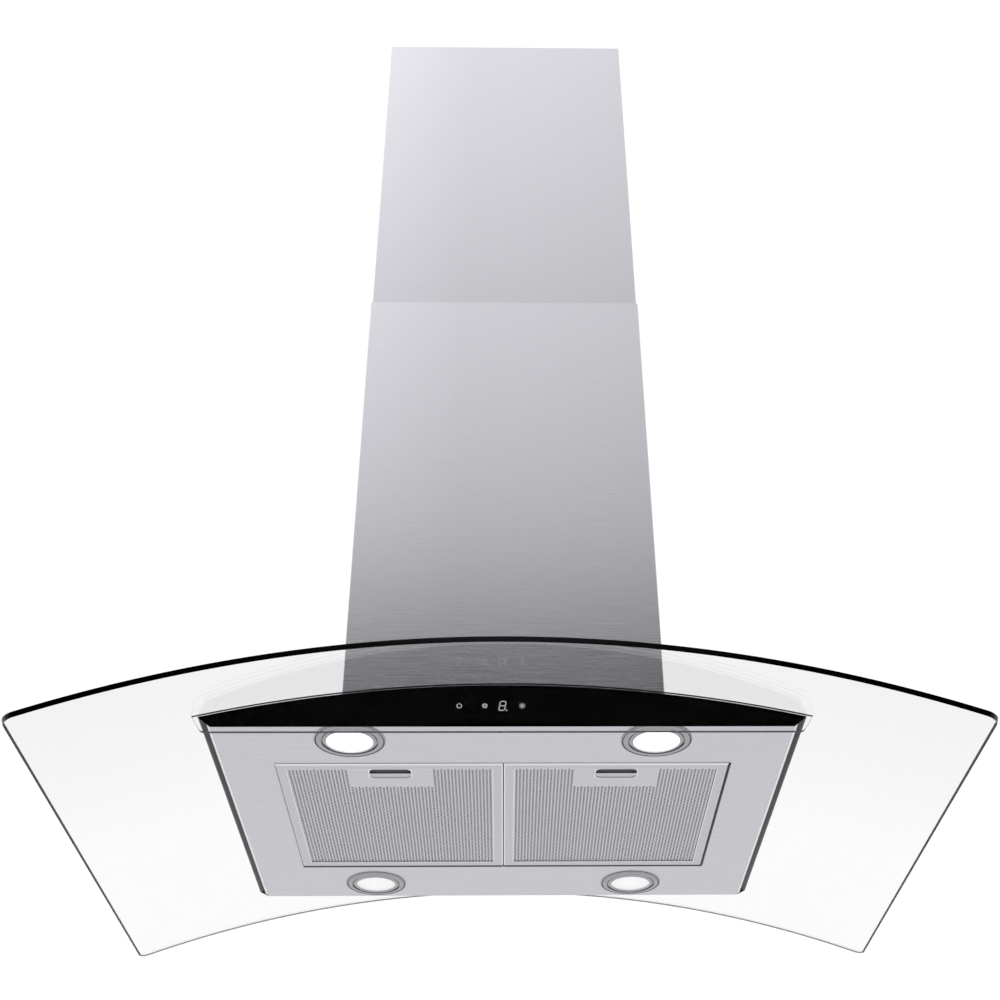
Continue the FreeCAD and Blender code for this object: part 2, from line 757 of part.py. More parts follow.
def upper_cover(side, sy):
    foot = -dim("upper_cover_show") - dim("cover_overlap")
    body = cover_half(f"upper_cover_{side}", sy, UPPER_X, UPPER_Y, foot, -dim("ceiling_gap"))
    drill_cover(body, sy, UPPER_X, -dim("cover_screw_drop"))
    return body


def lower_cover(side, sy):
    """Its lower edge follows the arch of the glass."""
    low = arch_height(ARCH_RADIUS, LOWER_X) - MARGIN
    body = cover_half(f"lower_cover_{side}", sy, LOWER_X, LOWER_Y, low, -dim("upper_cover_show"))
    radius = ARCH_RADIUS + dim("cover_above_glass")
    reach = LOWER_X + MARGIN
    below = low - MARGIN
    shadow = outline(
        [
            (-reach, arch_height(radius, reach)),
            (reach, arch_height(radius, reach)),
            (reach, below),
            (-reach, below),
        ],
        {0: ((0, ARCH_CENTRE), radius)},
    )
    pocket(body, "XZ_Plane", -LOWER_Y - MARGIN, LOWER_Y + MARGIN, shadow)
    drill_cover(body, sy, LOWER_X, BASE_TOP + dim("base_lip") / 2)
    return body


def cover_screws(label, half_x, z):
    screws = []
    for corner, sx, sy in CORNERS:
        screw = fastener(
            f"{label}_{corner}", dim("cover_screw_head"), dim("cover_screw_head_height"),
            dim("cover_screw_radius"), dim("cover_screw_length"),
        )
        place(screw, sx * half_x, sy * dim("cover_screw_inset"), z, OUT_RIGHT if sx > 0 else OUT_LEFT)
        screws.append(screw)
    return group(label, screws)


# ---------------------------------------------------------------- frame on the glass
def base_frame():
    """Flat frame that carries the posts and the blower box, with an upturned lip for the covers."""
    body = new_body("base_frame")
    pad(
        body, "XY_Plane", BASE_BOTTOM, BASE_TOP,
        bent_outline(BASE_X, BASE_Y),
        frame_outline(dim("base_opening_width") / 2, dim("base_opening_depth") / 2),
    )
    pad(
        body, "XY_Plane", BASE_TOP, BASE_TOP + dim("base_lip"),
        bent_outline(BASE_X, BASE_Y), bent_outline(BASE_X, BASE_Y, dim("skirt_sheet")),
    )
    return body


def drill_rim(body, half_x, z):
    """Pilot holes for the cover screws through the two side rims."""
    holes = [circle(sy * dim("cover_screw_inset"), z, dim("cover_screw_radius")) for sy in (-1, 1)]
    pocket(body, "YZ_Plane", -half_x - MARGIN, half_x + MARGIN, *holes)


def collar_outline(grow):
    """Rounded rectangle of the air collar, grown or drawn in."""
    half_x, half_y = COLLAR_X + grow, COLLAR_Y + grow
    return rectangle(-half_x, half_x, -half_y, half_y, dim("collar_corner") + grow)


def air_collar():
    """Rectangular duct from the hood body up through the glass, flanged inwards under the base frame."""
    body = new_body("air_collar")
    low = arch_height(SHELL_RADIUS, COLLAR_X) - dim("collar_below_shell")
    wall = dim("collar_sheet")
    inner = wall + dim("collar_flange")
    pad(body, "XY_Plane", low, BASE_BOTTOM, collar_outline(0), collar_outline(-wall))
    pad(
        body, "XY_Plane", BASE_BOTTOM - wall, BASE_BOTTOM,
        collar_outline(-wall / 2), frame_outline(COLLAR_X - inner, COLLAR_Y - inner),
    )
    return body


# ---------------------------------------------------------------- glass canopy
def glass_canopy():
    body = new_body("glass_canopy")
    edge = arch_height(ARCH_RADIUS, HALF_GLASS)
    share = UNDER_RADIUS / ARCH_RADIUS
    under_x = HALF_GLASS * share
    under_z = ARCH_CENTRE + (edge - ARCH_CENTRE) * share
    section = outline(
        [(-HALF_GLASS, edge), (HALF_GLASS, edge), (under_x, under_z), (-under_x, under_z)],
        {0: ((0, ARCH_CENTRE), ARCH_RADIUS), 2: ((0, ARCH_CENTRE), UNDER_RADIUS)},
    )
    half_depth = dim("glass_depth") / 2
    pad(body, "XZ_Plane", -half_depth, half_depth, section)
    pocket(body, "XY_Plane", edge, CROWN + MARGIN, collar_outline(dim("glass_cutout_gap")))
    reach = under_x.number - dim("glass_thickness").number

    def at_corner(edge):
        ends = [vertex.Point for vertex in edge.Vertexes]
        flat = len(ends) == 2 and near(ends[0].y, ends[1].y) and near(abs(ends[0].y), half_depth)
        return flat and ends[0].x * ends[1].x > reach * reach

    dress(body, "Fillet", dim("glass_corner"), at_corner)
    return body


def lower_seal():
    """Rubber strip between the hood body's arched top and the glass, as a ring round the collar."""
    body = new_body("glass_seal_lower")
    half_x = COLLAR_X + dim("glass_cutout_gap") + dim("seal_width")
    half_y = COLLAR_Y + dim("glass_cutout_gap") + dim("seal_width")
    play = dim("seal_play")
    arch_band(body, SHELL_RADIUS + play, UNDER_RADIUS - play, half_x, half_y)
    low = CROWN - dim("glass_rise")
    pocket(body, "XY_Plane", low, CROWN + MARGIN, collar_outline(dim("glass_cutout_gap")))
    return body


def arch_band(body, low_radius, high_radius, half_x, half_y):
    """Band between two arches, as wide as half_x either side and as deep as half_y."""
    section = outline(
        [
            (-half_x, arch_height(high_radius, half_x)),
            (half_x, arch_height(high_radius, half_x)),
            (half_x, arch_height(low_radius, half_x)),
            (-half_x, arch_height(low_radius, half_x)),
        ],
        {0: ((0, ARCH_CENTRE), high_radius), 2: ((0, ARCH_CENTRE), low_radius)},
    )
    pad(body, "XZ_Plane", -half_y, half_y, section)


def upper_seal():
    """Rubber frame between the arched glass and the flat base frame."""
    body = new_body("glass_seal_upper")
    half_x = COLLAR_X + dim("glass_cutout_gap") + dim("seal_width")
    half_y = COLLAR_Y + dim("glass_cutout_gap") + dim("seal_width") - dim("upper_seal_inset")
    radius = ARCH_RADIUS + dim("seal_play")
    edge = arch_height(radius, half_x)
    section = outline(
        [(-half_x, BASE_BOTTOM), (half_x, BASE_BOTTOM), (half_x, edge), (-half_x, edge)],
        {2: ((0, ARCH_CENTRE), radius)},
    )
    pad(body, "XZ_Plane", -half_y, half_y, section)
    low = CROWN - dim("glass_rise")
    pocket(body, "XY_Plane", low, CROWN + MARGIN, collar_outline(dim("glass_cutout_gap")))
    return body


# ---------------------------------------------------------------- hood body
def shell_section(inset, floor):
    """Arched outline of the hood body, drawn in by inset, down to the level floor."""
    foot, shoulder = SHELL_FOOT - inset, SHELL_SHOULDER - inset
    radius = SHELL_RADIUS - inset
    crest = arch_height(radius, shoulder)
    return outline(
        [(-shoulder, crest), (shoulder, crest), (foot, floor), (-foot, floor)],
        {0: ((0, ARCH_CENTRE), radius)},
    )


def body_shell():
    """Arched tray: its top follows the glass, its short side walls lean outwards."""
    body = new_body("body_shell")
    sheet = dim("shell_sheet")
    pad(body, "XZ_Plane", BODY_FRONT, BODY_REAR, shell_section(as_size(0), PAN_TOP))
    pocket(
        body, "XZ_Plane", BODY_FRONT + sheet, BODY_REAR - sheet, shell_section(sheet, PAN_TOP - MARGIN)
    )
    pocket(body, "XY_Plane", PAN_TOP, CROWN, collar_outline(dim("collar_play")))
    window_x, window_z = -dim("display_shift"), board_centre()
    half_window, half_rise = dim("window_width") / 2, dim("window_height") / 2
    window = rectangle(
        window_x - half_window, window_x + half_window, window_z - half_rise, window_z + half_rise
    )
    pocket(body, "XZ_Plane", BODY_FRONT - MARGIN, BODY_FRONT + MARGIN, window)
    hole_radius = dim("pan_screw_radius") + dim("pan_screw_play")
    holes = [circle(x, pan_screw_z(), hole_radius) for x in pan_screw_places()]
    pocket(body, "XZ_Plane", BODY_REAR - MARGIN, BODY_REAR + MARGIN, *holes)
    return body


def board_centre():
    """Height of the touch board's middle, just above the pan's front flange."""
    return PAN_TOP + dim("pan_flange_front") + dim("board_gap") + dim("board_height") / 2


def pan_screw_z():
    return PAN_TOP + dim("pan_flange_rear") / 2


def pan_screw_places():
    return [n * dim("pan_screw_spacing") for n in (-1, 0, 1)]


def bottom_pan():
    body = new_body("bottom_pan")
    half_x, half_y = dim("opening_width") / 2, dim("opening_depth") / 2
    sheet = dim("pan_sheet")
    lamp_holes = [
        circle(x, y, dim("lamp_can_radius") + dim("lamp_hole_play")) for _, x, y in lamp_places()
    ]
    pad(
        body, "XY_Plane", PAN_FACE, PAN_TOP,
        rectangle(-HALF_PAN, HALF_PAN, BODY_FRONT, BODY_REAR),
        frame_outline(half_x, half_y, WORK_Y), *lamp_holes,
    )

    def on_rim(edge):
        ends = [vertex.Point for vertex in edge.Vertexes]
        return all(near(abs(end.x), HALF_PAN) and near(end.z, PAN_FACE) for end in ends)

    dress(body, "Fillet", dim("pan_bend"), on_rim)
    flange_x = HALF_PAN - dim("pan_flange_inset")
    front = BODY_FRONT + dim("shell_sheet") + dim("pan_flange_play")
    rear = BODY_REAR - dim("shell_sheet") - dim("pan_flange_play")
    pad(
        body, "XY_Plane", PAN_TOP, PAN_TOP + dim("pan_flange_front"),
        rectangle(-flange_x, flange_x, front, front + sheet),
    )
    pad(
        body, "XY_Plane", PAN_TOP, PAN_TOP + dim("pan_flange_rear"),
        rectangle(-flange_x, flange_x, rear - sheet, rear),
    )
    for sx in (-1, 1):
        edge = sx * (half_x + sheet / 2)
        pad(
            body, "XY_Plane", PAN_TOP, PAN_TOP + dim("opening_upstand"),
            rectangle(edge - sheet / 2, edge + sheet / 2, WORK_Y - half_y, WORK_Y + half_y),
        )
    holes = [circle(x, pan_screw_z(), dim("pan_screw_radius")) for x in pan_screw_places()]
    pocket(body, "XZ_Plane", rear - MARGIN, rear + MARGIN, *holes)
    return body


def pan_screws():
    screws = []
    for n, x in enumerate(pan_screw_places()):
        screw = fastener(
            f"pan_screw_{n}", dim("pan_screw_head"), dim("pan_screw_head_height"),
            dim("pan_screw_radius"), dim("shell_sheet") + dim("pan_sheet") + dim("pan_screw_reach"),
        )
        place(screw, x, BODY_REAR, pan_screw_z(), OUT_REAR)
        screws.append(screw)
    return group("pan_screws", screws)


# ---------------------------------------------------------------- front panel
def panel_section(bottom_inset, side_inset, top_gap):
    """Outline of the front panel: straight foot, leaning ends and a top that follows the glass."""
    radius = UNDER_RADIUS - top_gap
    foot = SHELL_FOOT + dim("panel_foot_overhang") - side_inset
    shoulder = SHELL_SHOULDER + dim("panel_top_overhang") - side_inset
    low = PANEL_BOTTOM + bottom_inset
    crest = arch_height(radius, shoulder)
    return outline(
        [(-shoulder, crest), (shoulder, crest), (foot, low), (-foot, low)],
        {0: ((0, ARCH_CENTRE), radius)},
    )


def front_panel():
    """Clear plate in front of the hood body."""
    body = new_body("front_panel")
    pad(
        body, "XZ_Plane", PANEL_FACE, PANEL_BACK,
        panel_section(as_size(0), as_size(0), dim("panel_top_gap")),
    )

    def at_foot(edge):
        ends = [vertex.Point for vertex in edge.Vertexes]
        low = len(ends) == 2 and all(near(point.z, PANEL_BOTTOM) for point in ends)
        return low and near(ends[0].x, ends[1].x)

    dress(body, "Fillet", dim("panel_corner"), at_foot)
    return body


def panel_print():
    """Black backing that hides the works behind the clear plate."""
    body = new_body("panel_print")
    pad(
        body, "XZ_Plane", PANEL_BACK, PANEL_BACK + dim("print_thickness"),
        panel_section(
            dim("print_margin_bottom"), dim("print_margin_side"),
            dim("panel_top_gap") + dim("print_margin_top"),
        ),
    )
    return body


def touch_board():
    """Circuit board behind the body's front wall, with a key pad for each sign in the window."""
    body = new_body("touch_board")
    z, x = board_centre(), -dim("display_shift")
    face = BODY_FRONT + dim("shell_sheet") + dim("board_play")
    half_x, half_z = dim("board_width") / 2, dim("board_height") / 2
    pad(
        body, "XZ_Plane", face, face + dim("board_thickness"),
        rectangle(x - half_x, x + half_x, z - half_z, z + half_z),
    )
    for n in (-1, 0, 2):
        key = circle(x + n * dim("key_spacing"), z, dim("key_radius"))
        pad(body, "XZ_Plane", BODY_FRONT + dim("key_gap"), face, key)
    return body


def display_module():
    """Seven-segment display, which stands on the board and looks through the window."""
    body = new_body("display_module")
    z, x = board_centre(), dim("key_spacing") - dim("display_shift")
    half_x, half_z = dim("display_width") / 2, dim("display_height") / 2
    pad(
        body, "XZ_Plane", BODY_FRONT + dim("key_gap"), BODY_FRONT + dim("shell_sheet") + dim("board_play"),
        rectangle(x - half_x, x + half_x, z - half_z, z + half_z),
    )
    return body


# ---------------------------------------------------------------- lamps
def lamp_places():
    """Name and centre of each lamp."""
    return [
        (corner, sx * dim("lamp_spacing_x") / 2, WORK_Y + sy * dim("lamp_spacing_y") / 2)
        for corner, sx, sy in CORNERS
    ]


def lamp_bezel(corner, x, y):
    """Stepped ring below the pan and the can above it, turned about an axis through the pan's face."""
    body = new_body(f"lamp_bezel_{corner}")
    outer, can, lens = dim("lamp_bezel_radius"), dim("lamp_can_radius"), dim("lamp_lens_radius")
    drop, lip, slope = dim("lamp_bezel_height"), dim("bezel_lip"), dim("bezel_slope")
    ring = lens + dim("bezel_ring")
    groove, groove_level = ring + slope + dim("bezel_groove"), dim("bezel_groove_depth") - drop
    seat, seat_radius = dim("lamp_lens_thickness"), lens + dim("lamp_lens_play")
    profile = [
        (lens - lip, -drop),
        (ring, -drop),
        (ring + slope, groove_level),
        (groove, groove_level),
        (groove + slope, -drop),
        (outer, -dim("bezel_edge")),
        (outer, as_size(0)),
        (can, as_size(0)),
        (can, dim("lamp_can_height")),
        (as_size(0), dim("lamp_can_height")),
        (as_size(0), seat),
        (seat_radius, seat),
        (seat_radius, -lip),
        (lens - lip, -lip),
    ]
    revolve(body, profile)
    place(body, x, y, PAN_FACE)
    return body


def lamp_lens(corner, x, y):
    """Diffuser disc that rests on the bezel's lip."""
    body = new_body(f"lamp_lens_{corner}")
    radius, top = dim("lamp_lens_radius"), dim("lamp_lens_thickness") - dim("lamp_lens_play")
    bevel, foot = dim("lamp_lens_bevel"), dim("lamp_lens_play") / 2 - dim("bezel_lip")
    profile = [
        (as_size(0), foot),
        (radius - bevel, foot),
        (radius, foot + bevel),
        (radius, top),
        (as_size(0), top),
    ]
    revolve(body, profile)
    place(body, x, y, PAN_FACE)
    return body


# ---------------------------------------------------------------- grease filters
def filter_frame(side, x):
    """Aluminium channel round the mesh, with two hinge tabs at the rear and a slot for the latch tongue."""
    body = new_body(f"filter_frame_{side}")
    half = FILTER_WIDTH / 2
    border = dim("filter_border")
    pad(
        body, "XY_Plane", FILTER_LOW, FACE_BOTTOM,
        rectangle(x - half, x + half, FILTER_FRONT, FILTER_REAR),
        rectangle(x - half + border, x + half - border, FILTER_FRONT + border, FILTER_REAR - border),
    )
    pad(
        body, "XY_Plane", FACE_BOTTOM, FILTER_TOP,
        rectangle(x - half, x + half, FILTER_FRONT, FILTER_REAR),
        rectangle(x - half + REBATE, x + half - REBATE, FILTER_FRONT + REBATE, FILTER_REAR - REBATE),
    )

    def on_face(edge):
        return all(near(vertex.Point.z, FILTER_LOW) for vertex in edge.Vertexes)

    dress(body, "Chamfer", dim("filter_bevel"), on_face)
    tab_low = PAN_TOP + dim("swing_gap")
    for sx in (-1, 1):
        middle = x + sx * dim("tab_spacing") / 2
        pad(
            body, "XY_Plane", tab_low, tab_low + dim("tab_sheet"),
            rectangle(
                middle - dim("tab_width") / 2, middle + dim("tab_width") / 2,
                FILTER_REAR - dim("tab_root"), FILTER_REAR + dim("tab_reach"),
            ),
        )
    slot_half = dim("tongue_width") / 2 + dim("latch_play")
    slot_low = TONGUE_BOTTOM - dim("swing_gap")
    slot_high = TONGUE_BOTTOM + dim("latch_sheet") + dim("latch_head_play")
    slot = rectangle(x - slot_half, x + slot_half, slot_low, slot_high)
    pocket(body, "XZ_Plane", FILTER_FRONT - MARGIN, FILTER_FRONT + REBATE + MARGIN, slot)
    return body


def inside_frame():
    """Front and rear of what lies inside a filter's frame."""
    shift = REBATE + dim("face_play")
    return FILTER_FRONT + shift, FILTER_REAR - shift


def filter_face(side, x):
    """Face sheet on the frame's ledge, with the finger slot in its plain strip."""
    body = new_body(f"filter_face_{side}")
    half = FILTER_WIDTH / 2 - REBATE - dim("face_play")
    front, rear = inside_frame()
    slot_half = dim("finger_slot_width") / 2
    pad(
        body, "XY_Plane", FACE_BOTTOM, FACE_TOP,
        rectangle(x - half, x + half, front, rear),
        rectangle(
            x - slot_half, x + slot_half, SLOT_FRONT, SLOT_FRONT + dim("finger_slot_depth"),
            dim("finger_slot_corner"),
        ),
    )
    return body


def filter_core(side, x):
    """Stack of mesh layers behind the face sheet, notched round the latch."""
    body = new_body(f"filter_core_{side}")
    half = FILTER_WIDTH / 2 - REBATE - dim("face_play")
    front, rear = inside_frame()
    notch = dim("latch_width") / 2 + dim("notch_play")
    notch_rear = LATCH_REAR + SPRING_ROOM
    section = [
        (x - half, front),
        (x - notch, front),
        (x - notch, notch_rear),
        (x + notch, notch_rear),
        (x + notch, front),
        (x + half, front),
        (x + half, rear),
        (x - half, rear),
    ]
    pad(body, "XY_Plane", FACE_TOP, FACE_TOP + dim("core_height"), outline(section))
    return body


def latch(side, x):
    """Sliding latch: a finger cup behind the slot and a tongue over the pan's front edge."""
    body = new_body(f"latch_{side}")
    half, sheet = dim("latch_width") / 2, dim("latch_sheet")
    pad(
        body, "XY_Plane", LATCH_BOTTOM, LATCH_BOTTOM + sheet,
        rectangle(x - half, x + half, LATCH_FRONT, LATCH_REAR),
    )
    cup = dim("cup_width") / 2 + dim("cup_wall")
    cup_front = LATCH_FRONT + dim("cup_setback")
    cup_rear = cup_front + dim("cup_depth") + 2 * dim("cup_wall")
    cup_top = FACE_TOP + dim("core_height")
    pad(
        body, "XY_Plane", LATCH_BOTTOM, cup_top,
        rectangle(x - cup, x + cup, cup_front, cup_rear),
    )
    tongue = dim("tongue_width") / 2
    tongue_tip = FILTER_FRONT - dim("filter_gap") - dim("tongue_reach")
    pad(
        body, "XY_Plane", TONGUE_BOTTOM, TONGUE_BOTTOM + sheet,
        rectangle(x - tongue, x + tongue, tongue_tip, cup_front + dim("cup_wall") / 2),
    )
    hollow = outline(
        [
            (cup_front + dim("cup_wall"), LATCH_BOTTOM - MARGIN),
            (cup_rear - dim("cup_wall"), LATCH_BOTTOM - MARGIN),
            (cup_rear - dim("cup_wall"), LATCH_BOTTOM + sheet),
            (cup_front + dim("cup_flat"), cup_top - dim("cup_wall")),
            (cup_front + dim("cup_wall"), cup_top - dim("cup_wall")),
        ]
    )
    pocket(body, "YZ_Plane", x - dim("cup_width") / 2, x + dim("cup_width") / 2, hollow)
    return body


def latch_spring(side, x):
    """Bowed leaf between the latch's rear edge and the notch in the core."""
    body = new_body(f"latch_spring_{side}")
    half, sheet = dim("spring_width") / 2, dim("spring_sheet")
    gap = dim("spring_gap")
    rear = LATCH_REAR + SPRING_ROOM - gap
    bow = SPRING_ROOM - 2 * gap - sheet
    radius = half * half / (2 * bow) + bow / 2
    centre = (x, LATCH_REAR + gap + sheet + radius)
    outer = radius + sheet
    outer_half = root(outer * outer - (radius - bow) * (radius - bow))
    section = outline(
        [(x - outer_half, rear), (x + outer_half, rear), (x + half, rear), (x - half, rear)],
        {0: (centre, outer), 2: (centre, radius)},
    )
    low = LATCH_BOTTOM + gap
    pad(body, "XY_Plane", low, low + dim("spring_height"), section)
    return body


# ---------------------------------------------------------------- blower
def blower_box():
    """Sheet-metal box over the base frame, open below, with the scroll's outlet in its roof."""
    body = new_body("blower_box")
    half_x, half_y, sheet = dim("box_width") / 2, dim("box_depth") / 2, dim("box_sheet")
    flange = dim("box_flange")
    pad(body, "XY_Plane", BOX_BOTTOM, BOX_TOP, frame_outline(half_x, half_y))
    pocket(
        body, "XY_Plane", BOX_BOTTOM, OUTLET_TOP, frame_outline(half_x - sheet, half_y - sheet)
    )
    pad(
        body, "XY_Plane", BOX_BOTTOM, BOX_BOTTOM + sheet,
        frame_outline(half_x + flange, half_y + flange), frame_outline(half_x - sheet, half_y - sheet),
    )
    half_scroll = dim("scroll_width") / 2
    pocket(
        body, "XY_Plane", OUTLET_TOP - sheet, BOX_TOP + MARGIN,
        rectangle(OUTLET_LEFT, OUTLET_RIGHT, -half_scroll, half_scroll),
    )
    return body


def scroll_section(grow, top):
    """Scroll drawn with three quarter arcs whose centres lie on the corners of a small square."""
    step, start, tongue = dim("scroll_step"), dim("scroll_start_radius"), dim("scroll_tongue")
    half = step / 2
    x, z = SCROLL_X, SCROLL_Z
    roof = z - half + start + grow
    return outline(
        [
            (OUTLET_RIGHT + grow, top),
            (OUTLET_RIGHT + grow, z + half),
            (x + half, z + half - start - 2 * step - grow),
            (x + half - start - step - grow, z - half),
            (x - half, roof),
            (OUTLET_LEFT - tongue, roof),
            (OUTLET_LEFT - grow, z - half + start + tongue),
            (OUTLET_LEFT - grow, top),
        ],
        {
            1: ((x + half, z + half), start + 2 * step + grow),
            2: ((x + half, z - half), start + step + grow),
            3: ((x - half, z - half), start + grow),
            5: ((OUTLET_LEFT - tongue, z - half + start + tongue), tongue - grow),
        },
    )


def scroll_housing():
    """Spiral housing with an inlet in both side walls and its outlet upwards."""
    body = new_body("scroll_housing")
    half, wall = dim("scroll_width") / 2, dim("scroll_wall")
    pad(body, "XZ_Plane", -half - wall, half + wall, scroll_section(wall, OUTLET_TOP))
    pocket(body, "XZ_Plane", -half, half, scroll_section(as_size(0), OUTLET_TOP + MARGIN))
    pocket(
        body, "XZ_Plane", -half - MARGIN, half + MARGIN,
        circle(SCROLL_X, SCROLL_Z, dim("scroll_mouth")),
    )
    return body


def inlet_ring(side, sy):
    """Bell-mouthed ring on the scroll's side wall; turned about its own Z axis, which points outwards."""
    body = new_body(f"inlet_ring_{side}")
    mouth, sheet = dim("inlet_radius"), dim("scroll_wall")
    lip, flare, rim = dim("inlet_lip"), dim("inlet_flare"), mouth + dim("inlet_flange")
    profile = [
        (mouth, -lip),
        (mouth + sheet, -lip),
        (mouth + sheet, -flare / 2),
        (mouth + sheet + flare / 2, as_size(0)),
        (rim, as_size(0)),
        (rim, sheet),
        (mouth + flare, sheet),
        (mouth, sheet - flare),
    ]
    revolve(body, profile)
    level = dim("scroll_width") / 2 + dim("scroll_wall")
    place(body, SCROLL_X, sy * level, SCROLL_Z, OUT_REAR if sy > 0 else OUT_FRONT)
    return body


def impeller():
    """Double-inlet drum of forward-curved blades on a middle disc; turned about its own Z axis."""
    body = new_body("impeller")
    radius, chord, half = dim("rotor_radius"), dim("blade_chord"), dim("rotor_width") / 2
    disc, rim, sheet = dim("rotor_disc") / 2, dim("rotor_rim"), dim("blade_sheet")
    pad(
        body, "XY_Plane", -disc, disc,
        circle(0, 0, radius - dim("rotor_disc_inset")), circle(0, 0, dim("shaft_radius")),
    )
    pad(
        body, "XY_Plane", -disc, dim("hub_length") - disc,
        circle(0, 0, dim("hub_radius")), circle(0, 0, dim("shaft_radius")),
    )
    root_x, lean, hollow = radius - chord, dim("blade_lean"), dim("blade_curve")
    foot, tip = (root_x, as_size(0)), (radius - sheet, lean)
    back_foot, back_tip = (root_x + sheet, -sheet), (radius, lean - dim("blade_tip"))
    back = hollow + sheet
    front_centre = blade_centre(*foot, *tip, hollow)
    back_centre = blade_centre(*back_foot, *back_tip, back)
    blade = outline(
        [foot, tip, back_tip, back_foot], {0: (front_centre, hollow), 2: (back_centre, back)}
    )
    blade_pad = pad(body, "XY_Plane", -half, half, blade)
    inner = radius - dim("rotor_rim_width")
    for low, high in ((-half, rim - half), (half - rim, half)):
        pad(body, "XY_Plane", low, high, circle(0, 0, radius), circle(0, 0, inner))
    pattern = body.newObject("PartDesign::PolarPattern", "impeller_blades")
    pattern.Originals = [blade_pad]
    pattern.Axis = (next(f for f in body.Origin.OriginFeatures if f.Role == "Z_Axis"), [""])
    pattern.Angle = 360
    pattern.setExpression("Occurrences", "dims.blade_count")
    body.Tip = pattern
    place(body, SCROLL_X, 0, SCROLL_Z, OUT_FRONT)
    return body


def blade_centre(x1, y1, x2, y2, radius):
    """Centre of the arc of this radius through two points, on the side of the drum's axis."""
    mid_x, mid_y = (x1 + x2) / 2, (y1 + y2) / 2
    run_x, run_y = x2 - x1, y2 - y1
    length = root(run_x * run_x + run_y * run_y)
    rise = root(radius * radius - length * length / 4)
    return mid_x - run_y / length * rise, mid_y + run_x / length * rise


def motor_shaft():
    body = new_body("motor_shaft")
    length = dim("shaft_length")
    front = dim("rotor_disc") / 2 - dim("hub_length")
    pad(body, "XY_Plane", front, front + length, circle(0, 0, dim("shaft_radius")))
    place(body, SCROLL_X, 0, SCROLL_Z, OUT_REAR)
    return body


def motor_start():
    """Distance from the drum's middle to the motor's near end."""
    return dim("rotor_disc") / 2 + dim("motor_gap")


def motor():
    """Motor can with bevelled ends, a boss at each end and a bore for the shaft."""
    body = new_body("motor")
    radius, low = dim("motor_radius"), motor_start()
    high = low + dim("motor_length")
    boss, step, bevel = dim("motor_boss_radius"), dim("motor_boss_height"), dim("motor_bevel")
    bore = dim("shaft_radius") + dim("bearing_play")
    profile = [
        (bore, low - step),
        (boss, low - step),
        (boss, low),
        (radius - bevel, low),
        (radius, low + bevel),
        (radius, high - bevel),
        (radius - bevel, high),
        (boss, high),
        (boss, high + step),
        (bore, high + step),
    ]
    revolve(body, profile)
    place(body, SCROLL_X, 0, SCROLL_Z, OUT_REAR)
    return body


def motor_bracket():
    """Three-armed ring that holds the motor on the rear inlet ring."""
    body = new_body("motor_bracket")
    low = dim("scroll_width") / 2 + dim("scroll_wall") * 2
    sheet = dim("bracket_sheet")
    grip = dim("motor_radius") + dim("bracket_play")
    half_arm = dim("bracket_arm_width") / 2
    ring_low = low - dim("bracket_ring")
    pad(body, "XY_Plane", ring_low, low + sheet, circle(0, 0, grip + sheet), circle(0, 0, grip))
    arm = pad(
        body, "XY_Plane", low, low + sheet,
        rectangle(-half_arm, half_arm, grip + sheet / 2, dim("bracket_arm_end")),
    )
    pattern = body.newObject("PartDesign::PolarPattern", "bracket_arms")
    pattern.Originals = [arm]
    pattern.Axis = (next(f for f in body.Origin.OriginFeatures if f.Role == "Z_Axis"), [""])
    pattern.Angle = 360
    pattern.Occurrences = 3
    body.Tip = pattern
    place(body, SCROLL_X, 0, SCROLL_Z, OUT_REAR)
    return body


# ---------------------------------------------------------------- duct outlet
def outlet_collar():
    """Plate on the blower box with the round spigot that takes the duct."""
    body = new_body("outlet_collar")
    radius, wall = dim("spigot_radius"), dim("spigot_wall")
    half = radius + dim("outlet_plate_margin")
    bore = radius - wall
    pad(
        body, "XY_Plane", BOX_TOP, PLATE_TOP,
        rectangle(DUCT_X - half, DUCT_X + half, -half, half), circle(DUCT_X, 0, bore),
    )
    pad(
        body, "XY_Plane", PLATE_TOP, PLATE_TOP + dim("spigot_height"),
        circle(DUCT_X, 0, radius), circle(DUCT_X, 0, bore),
    )
    pocket(
        body, "XZ_Plane", -radius - MARGIN, radius + MARGIN,
        circle(DUCT_X, FLAP_Z, dim("flap_pin_radius")),
    )
    return body


def flap_pin():
    body = new_body("flap_pin")
    reach = dim("spigot_radius") - dim("flap_pin_setback")
    pad(body, "XZ_Plane", -reach, reach, circle(DUCT_X, FLAP_Z, dim("flap_pin_radius")))
    return body


